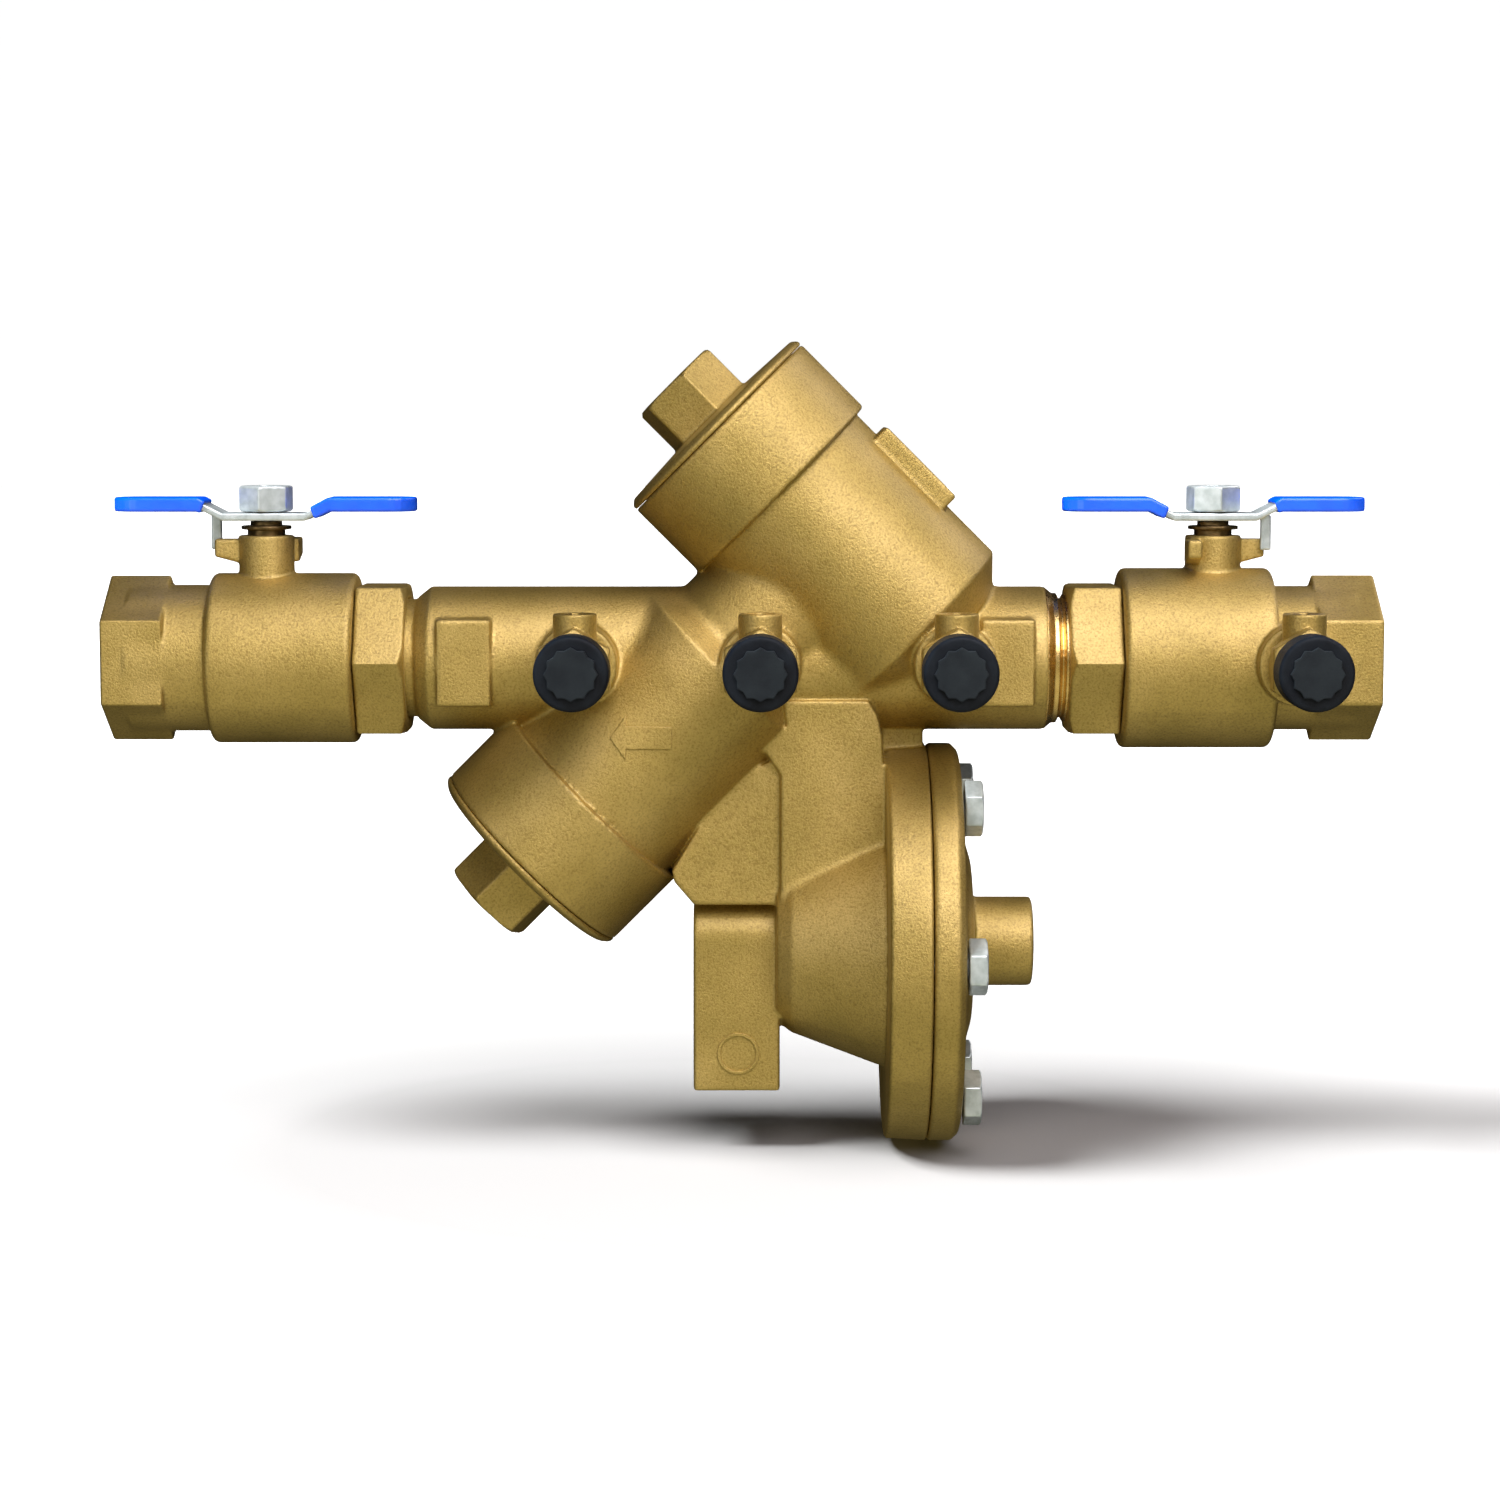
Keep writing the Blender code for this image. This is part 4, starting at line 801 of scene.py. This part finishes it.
STRAP_REACH = 38.7
STRAP_HALF_WIDTH = 6.5
STRAP_CORNER = 6.0
STRAP_LOW = 36.0
STRAP_HIGH = 38.0
STRAP_RISE = 3.2
STRAP_BENDS = (10.7, 17.0)
SLEEVE = 0.85
SLEEVE_POCKET = 0.1


def star_outline(points, outer, inner):
    """The grip edge of a cap: as many points as asked, with notches between them."""
    outline = []
    for i in range(points * 2):
        radius = outer if i % 2 == 0 else inner
        outline.append((radius * math.cos(math.pi * i / points), radius * math.sin(math.pi * i / points)))
    return outline


def strap_outline(clear, inner_end=0.0):
    """The handle strap seen from the side, thickened outwards by clear; inner_end above 0 gives one arm."""
    low, high = STRAP_LOW - clear, STRAP_HIGH + clear
    bend, end = STRAP_BENDS
    lean = clear * 0.23
    slope = STRAP_RISE / (end - bend)
    top = [(STRAP_REACH + clear, high + STRAP_RISE), (end - lean, high + STRAP_RISE)]
    bottom = [(end + lean, low + STRAP_RISE), (STRAP_REACH + clear, low + STRAP_RISE)]
    if inner_end:
        rise = (inner_end - bend) * slope
        return top + [(inner_end - 0.4, high + rise - lean), (inner_end + 0.8, low + rise + 0.4)] + bottom
    right_top, right_bottom = top + [(bend - lean, high)], [(bend + lean, low)] + bottom
    left_top = [(-x, z) for x, z in reversed(right_top)]
    left_bottom = [(-x, z) for x, z in reversed(right_bottom)]
    return right_top + left_top + left_bottom + right_bottom


def plan_outline(clear):
    """The handle strap seen from above, with rounded ends, widened by clear all round."""
    reach, half_width, corner = STRAP_REACH + clear, STRAP_HALF_WIDTH + clear, STRAP_CORNER + clear
    steps = 14
    right = []
    for i in range(steps):
        angle = math.radians(-90 + 180 * i / (steps - 1))
        across = (half_width - corner) * (1 if angle > 0 else -1)
        right.append((reach - corner + corner * math.cos(angle), across + corner * math.sin(angle)))
    return right + [(-x, -y) for x, y in right]


def two_views(side_view, plan, rounding=0.0):
    """A solid with one outline seen from the front, in XZ, and another seen from above, in XY."""
    low = [min(x for x, _ in side_view), min(y for _, y in plan), min(z for _, z in side_view)]
    high = [max(x for x, _ in side_view), max(y for _, y in plan), max(z for _, z in side_view)]
    drawn = [inset(outline, rounding) if rounding else outline for outline in (side_view, plan)]

    def distance(x, y, z):
        seen = polygon_distance(x, z, drawn[0]) - rounding
        return rounded_both(seen, polygon_distance(x, y, drawn[1]) - rounding, rounding)

    return distance, low, high


def sculpt_handle(side):
    """The strap with its stop tab, both sleeves and the nut."""
    place = valve_frame(side)
    strap = clay_for(side + "_handle_strap", 0.32)
    strap.add(two_views(strap_outline(0.0), plan_outline(0.0), 0.3), place)
    strap.add(box((12.0, -3.9, 28.3), (14.7, -1.9, 37.4), 0.4), place, 0.6)
    strap.cut(rod(3.5, 30.0, 40.0), place)
    piece(side + "_strap_fine", strap.mesh(side + "_strap_fine"), side + "_handle_strap")
    for hand, turn, start in (("right", 0.0, 15.4), ("left", math.pi, 12.5)):
        node = side + "_grip_" + hand
        own = place @ Matrix.Rotation(turn, 4, "Z")
        grip = clay_for(node, 0.32)
        grip.add(two_views(strap_outline(SLEEVE, start), plan_outline(SLEEVE), 0.6), own)
        grip.cut(two_views(strap_outline(SLEEVE_POCKET), plan_outline(SLEEVE_POCKET)), own)
        piece(node + "_fine", grip.mesh(node + "_fine"), node)
    nut = clay_for(side + "_handle_nut", 0.3)
    nut.add(hexagon(12.6, 38.3, 45.0, math.radians(VALVES[side]["nut_spin"]), 0.3), place)
    nut.cut(rod(3.5, 30.0, 50.0), place)
    piece(side + "_nut_fine", nut.mesh(side + "_nut_fine"), side + "_handle_nut")


def sculpt_valve_core(side):
    """The packing gland, stem and ball."""
    place = valve_frame(side)
    gland = clay_for(side + "_packing_gland", 0.25)
    profile = [(4.1, 35.8), (4.1, 34.6), (6.5, 34.6), (6.5, 33.65), (4.9, 33.65), (4.9, 26.0), (3.5, 26.0),
               (3.5, 35.8)]
    gland.add(turned(profile, 0.12), place)
    piece(side + "_gland_fine", gland.mesh(side + "_gland_fine"), side + "_packing_gland", "dark_brass")
    stem = clay_for(side + "_stem", 0.3)
    stem.add(turned([(0, 44.5), (3.2, 44.5), (3.2, 20.2), (6.0, 20.2), (6.0, 17.4), (0, 17.4)], 0.3), place)
    stem.add(box((-4.5, -1.9, 14.4), (4.5, 1.9, 18.5), 0.3), place)
    piece(side + "_stem_fine", stem.mesh(side + "_stem_fine"), side + "_stem", "dark_brass")
    sphere = clay_for(side + "_ball", 0.5)
    sphere.add(ball(17.0), place)
    sphere.cut(rod(BORE_R, -30.0, 30.0), place @ PIPE, 0.8)
    sphere.cut(box((-5.5, -2.3, 14.0), (5.5, 2.3, 20.0)), place)
    piece(side + "_ball_fine", sphere.mesh(side + "_ball_fine"), side + "_ball")


# ---------------------------------------------------------------- floor, lights and camera

def stage_plane(name, corners, faces):
    """Part of the set, which brass doesn't mirror."""
    mesh = bpy.data.meshes.new(name)
    mesh.from_pydata(corners, [], faces)
    obj = bpy.data.objects.new(name, mesh)
    bpy.context.scene.collection.objects.link(obj)
    obj.visible_glossy = False
    return obj


def make_floor():
    """A pale floor that glows to white away from the object, so that only the shadow shows."""
    low = CAD_BOUNDS[0].z - 0.0015
    half = 7.0
    corners = [(x * half, y * half, low) for x, y in ((-1, -1), (1, -1), (1, 1), (-1, 1))]
    floor = stage_plane("floor", corners, [(0, 1, 2, 3)])
    made, tree, shader = material("floor_white")
    shader.inputs["Base Color"].default_value = (0.25, 0.25, 0.25, 1.0)
    shader.inputs["Roughness"].default_value = 0.95
    shader.inputs["Specular IOR Level"].default_value = 0.0
    shader.inputs["Emission Color"].default_value = (1.0, 1.0, 1.0, 1.0)
    coordinates = tree.nodes.new("ShaderNodeTexCoord")
    away = tree.nodes.new("ShaderNodeVectorMath")
    away.operation = "DISTANCE"
    away.inputs[1].default_value = (CENTRE.x, 0.0, low)
    tree.links.new(coordinates.outputs["Object"], away.inputs[0])
    glow = tree.nodes.new("ShaderNodeMapRange")
    glow.inputs["From Min"].default_value = 0.12
    glow.inputs["From Max"].default_value = 0.55
    glow.inputs["To Min"].default_value = 0.0
    glow.inputs["To Max"].default_value = 1.0
    tree.links.new(away.outputs["Value"], glow.inputs["Value"])
    tree.links.new(glow.outputs["Result"], shader.inputs["Emission Strength"])
    floor.data.materials.append(made)


def make_backdrop():
    """A plain white room round the set, seen by the camera only, so that it doesn't light the brass."""
    reach, low, high = 6.5, CAD_BOUNDS[0].z - 0.002, 8.0
    count = 24
    angles = [2 * math.pi * i / count for i in range(count)]
    ring = [(reach * math.cos(angle), reach * math.sin(angle)) for angle in angles]
    corners = [(x, y, low) for x, y in ring] + [(x, y, high) for x, y in ring]
    faces = [(i, (i + 1) % count, count + (i + 1) % count, count + i) for i in range(count)]
    faces.append(tuple(range(count, 2 * count)))
    room = stage_plane("backdrop", corners, faces)
    room.visible_diffuse = False
    room.visible_shadow = False
    room.visible_transmission = False
    made, _, shader = material("backdrop_white")
    shader.inputs["Base Color"].default_value = (0.0, 0.0, 0.0, 1.0)
    shader.inputs["Emission Color"].default_value = (1.0, 1.0, 1.0, 1.0)
    shader.inputs["Emission Strength"].default_value = 1.0
    room.data.materials.append(made)


def area_light(name, position, target, size, power, colour):
    data = bpy.data.lights.new(name, "AREA")
    data.shape = "RECTANGLE"
    data.size, data.size_y = size
    data.energy = power
    data.color = colour
    light = bpy.data.objects.new(name, data)
    bpy.context.scene.collection.objects.link(light)
    direction = Vector(target) - Vector(position)
    turn = direction.to_track_quat("-Z", "Y").to_matrix().to_4x4()
    light.matrix_world = Matrix.Translation(Vector(position)) @ turn


def make_world():
    """A dim room, brightest low in front and dark above and behind, so that the brass has dark edges."""
    world = bpy.data.worlds.new("studio")
    bpy.context.scene.world = world
    world.use_nodes = True
    tree = world.node_tree
    background = tree.nodes["Background"]
    coordinates = tree.nodes.new("ShaderNodeTexCoord")
    facing = tree.nodes.new("ShaderNodeVectorMath")
    facing.operation = "DOT_PRODUCT"
    facing.inputs[1].default_value = (0.10, -0.60, -0.79)
    tree.links.new(coordinates.outputs["Generated"], facing.inputs[0])
    scaled = tree.nodes.new("ShaderNodeMapRange")
    scaled.inputs["From Min"].default_value = -1.0
    scaled.inputs["From Max"].default_value = 1.0
    tree.links.new(facing.outputs["Value"], scaled.inputs["Value"])
    stops = [(0.0, (0.0, 0.0, 0.0)), (0.45, (0.01, 0.01, 0.01)), (0.70, (0.11, 0.10, 0.07)),
             (1.0, (0.72, 0.68, 0.44))]
    tone = ramp(tree, scaled.outputs["Result"], stops)
    tree.links.new(tone.outputs["Color"], background.inputs["Color"])
    background.inputs["Strength"].default_value = 1.0


def make_lights():
    make_world()
    middle = (CENTRE.x, 0.0, -0.02)
    area_light("key", (CENTRE.x + 0.32, -0.92, 0.92), middle, (1.1, 1.3), 25.0, (1.0, 0.92, 0.92))
    area_light("fill", (CENTRE.x - 0.9, -1.1, 0.15), middle, (0.7, 0.9), 3.0, (1.0, 0.96, 0.88))
    area_light("side", (CENTRE.x + 0.95, 0.35, 0.80), middle, (0.7, 0.7), 4.0, (1.0, 0.92, 0.92))
    top = bpy.data.lights.new("top", "SUN")
    top.energy = 12.0
    top.angle = math.radians(28)
    above = bpy.data.objects.new("top", top)
    above.rotation_euler = (math.radians(14), math.radians(-32), 0.0)
    bpy.context.scene.collection.objects.link(above)
    above.visible_glossy = False


def make_camera():
    """The view of the photograph: square on to the front, a little above the pipe axis."""
    data = bpy.data.cameras.new("camera")
    data.sensor_width = 36.0
    data.lens = 87.0
    data.clip_start = 0.01
    camera = bpy.data.objects.new("camera", data)
    bpy.context.scene.collection.objects.link(camera)
    target = Vector((CENTRE.x + 2.1 * MM, 0.0, -24.3 * MM))
    elevation, distance = math.radians(5.7), 0.952
    back = Vector((0.0, -math.cos(elevation), math.sin(elevation)))
    camera.location = target + back * distance
    camera.rotation_euler = (-back).to_track_quat("-Z", "Y").to_euler()
    bpy.context.scene.camera = camera


def finish_cad_nodes():
    """Every CAD node that stays gets its slot's material."""
    for name, obj in frame["nodes"].items():
        wanted = FINISH[SLOT_OF[name]]
        if not obj.material_slots:
            obj.data.materials.append(wanted)
        for held in obj.material_slots:
            held.material = wanted


def make_marks():
    """A plain flow arrow proud of the lower barrel, and a plain ring proud of the vent column."""
    clay = Clay([-36.0, -29.5, -26.0], [-16.0, -22.0, -11.0], 0.18)
    arrow = [(-33.8, -18.5), (-29.6, -12.8), (-29.6, -15.6), (-17.8, -15.6), (-17.8, -21.4), (-29.6, -21.4),
             (-29.6, -24.2)]
    clay.add(prism(arrow, 40.0, 0.1), FRONT)
    clay.keep(tube(BARREL_R + 0.5, BARREL_R - 1.5, 0.0, 60.0), check_frame("check_2"))
    piece("flow_arrow", clay.mesh("flow_arrow"), "main_casting", "cast_brass", False)
    face = -VENT_HALF_WIDTH
    clay = Clay([-7.5, face - 1.5, -109.0], [5.5, face + 1.5, -96.5], 0.14)
    clay.add(tube(5.5, 4.6, VENT_HALF_WIDTH - 0.8, VENT_HALF_WIDTH + 0.55, 0.15),
             frame_along((-1.0, 0, -102.7), (0, -1, 0), (1, 0, 0)))
    piece("vent_ring", clay.mesh("vent_ring"), "main_casting", "cast_brass", False)


def main():
    finish_cad_nodes()
    piece("main_casting_fine", sculpt_casting(), "main_casting")
    piece("spigot_fine", sculpt_spigot(), "main_casting", "machined_brass", False)
    for check in CHECKS:
        piece(check + "_cover_fine", sculpt_cover(check), check + "_cover")
    piece("relief_cover_fine", sculpt_relief_cover(), "relief_cover")
    sculpt_bolts()
    for side in VALVES:
        piece(side + "_body_fine", sculpt_valve_body(side), side + "_valve_body")
        piece(side + "_adapter_fine", sculpt_adapter(side), side + "_valve_adapter", "cast_brass")
        sculpt_handle(side)
        sculpt_valve_core(side)
    sculpt_cocks()
    make_marks()
    make_floor()
    make_backdrop()
    make_lights()
    bpy.context.scene.view_settings.view_transform = "Standard"
    make_camera()


main()
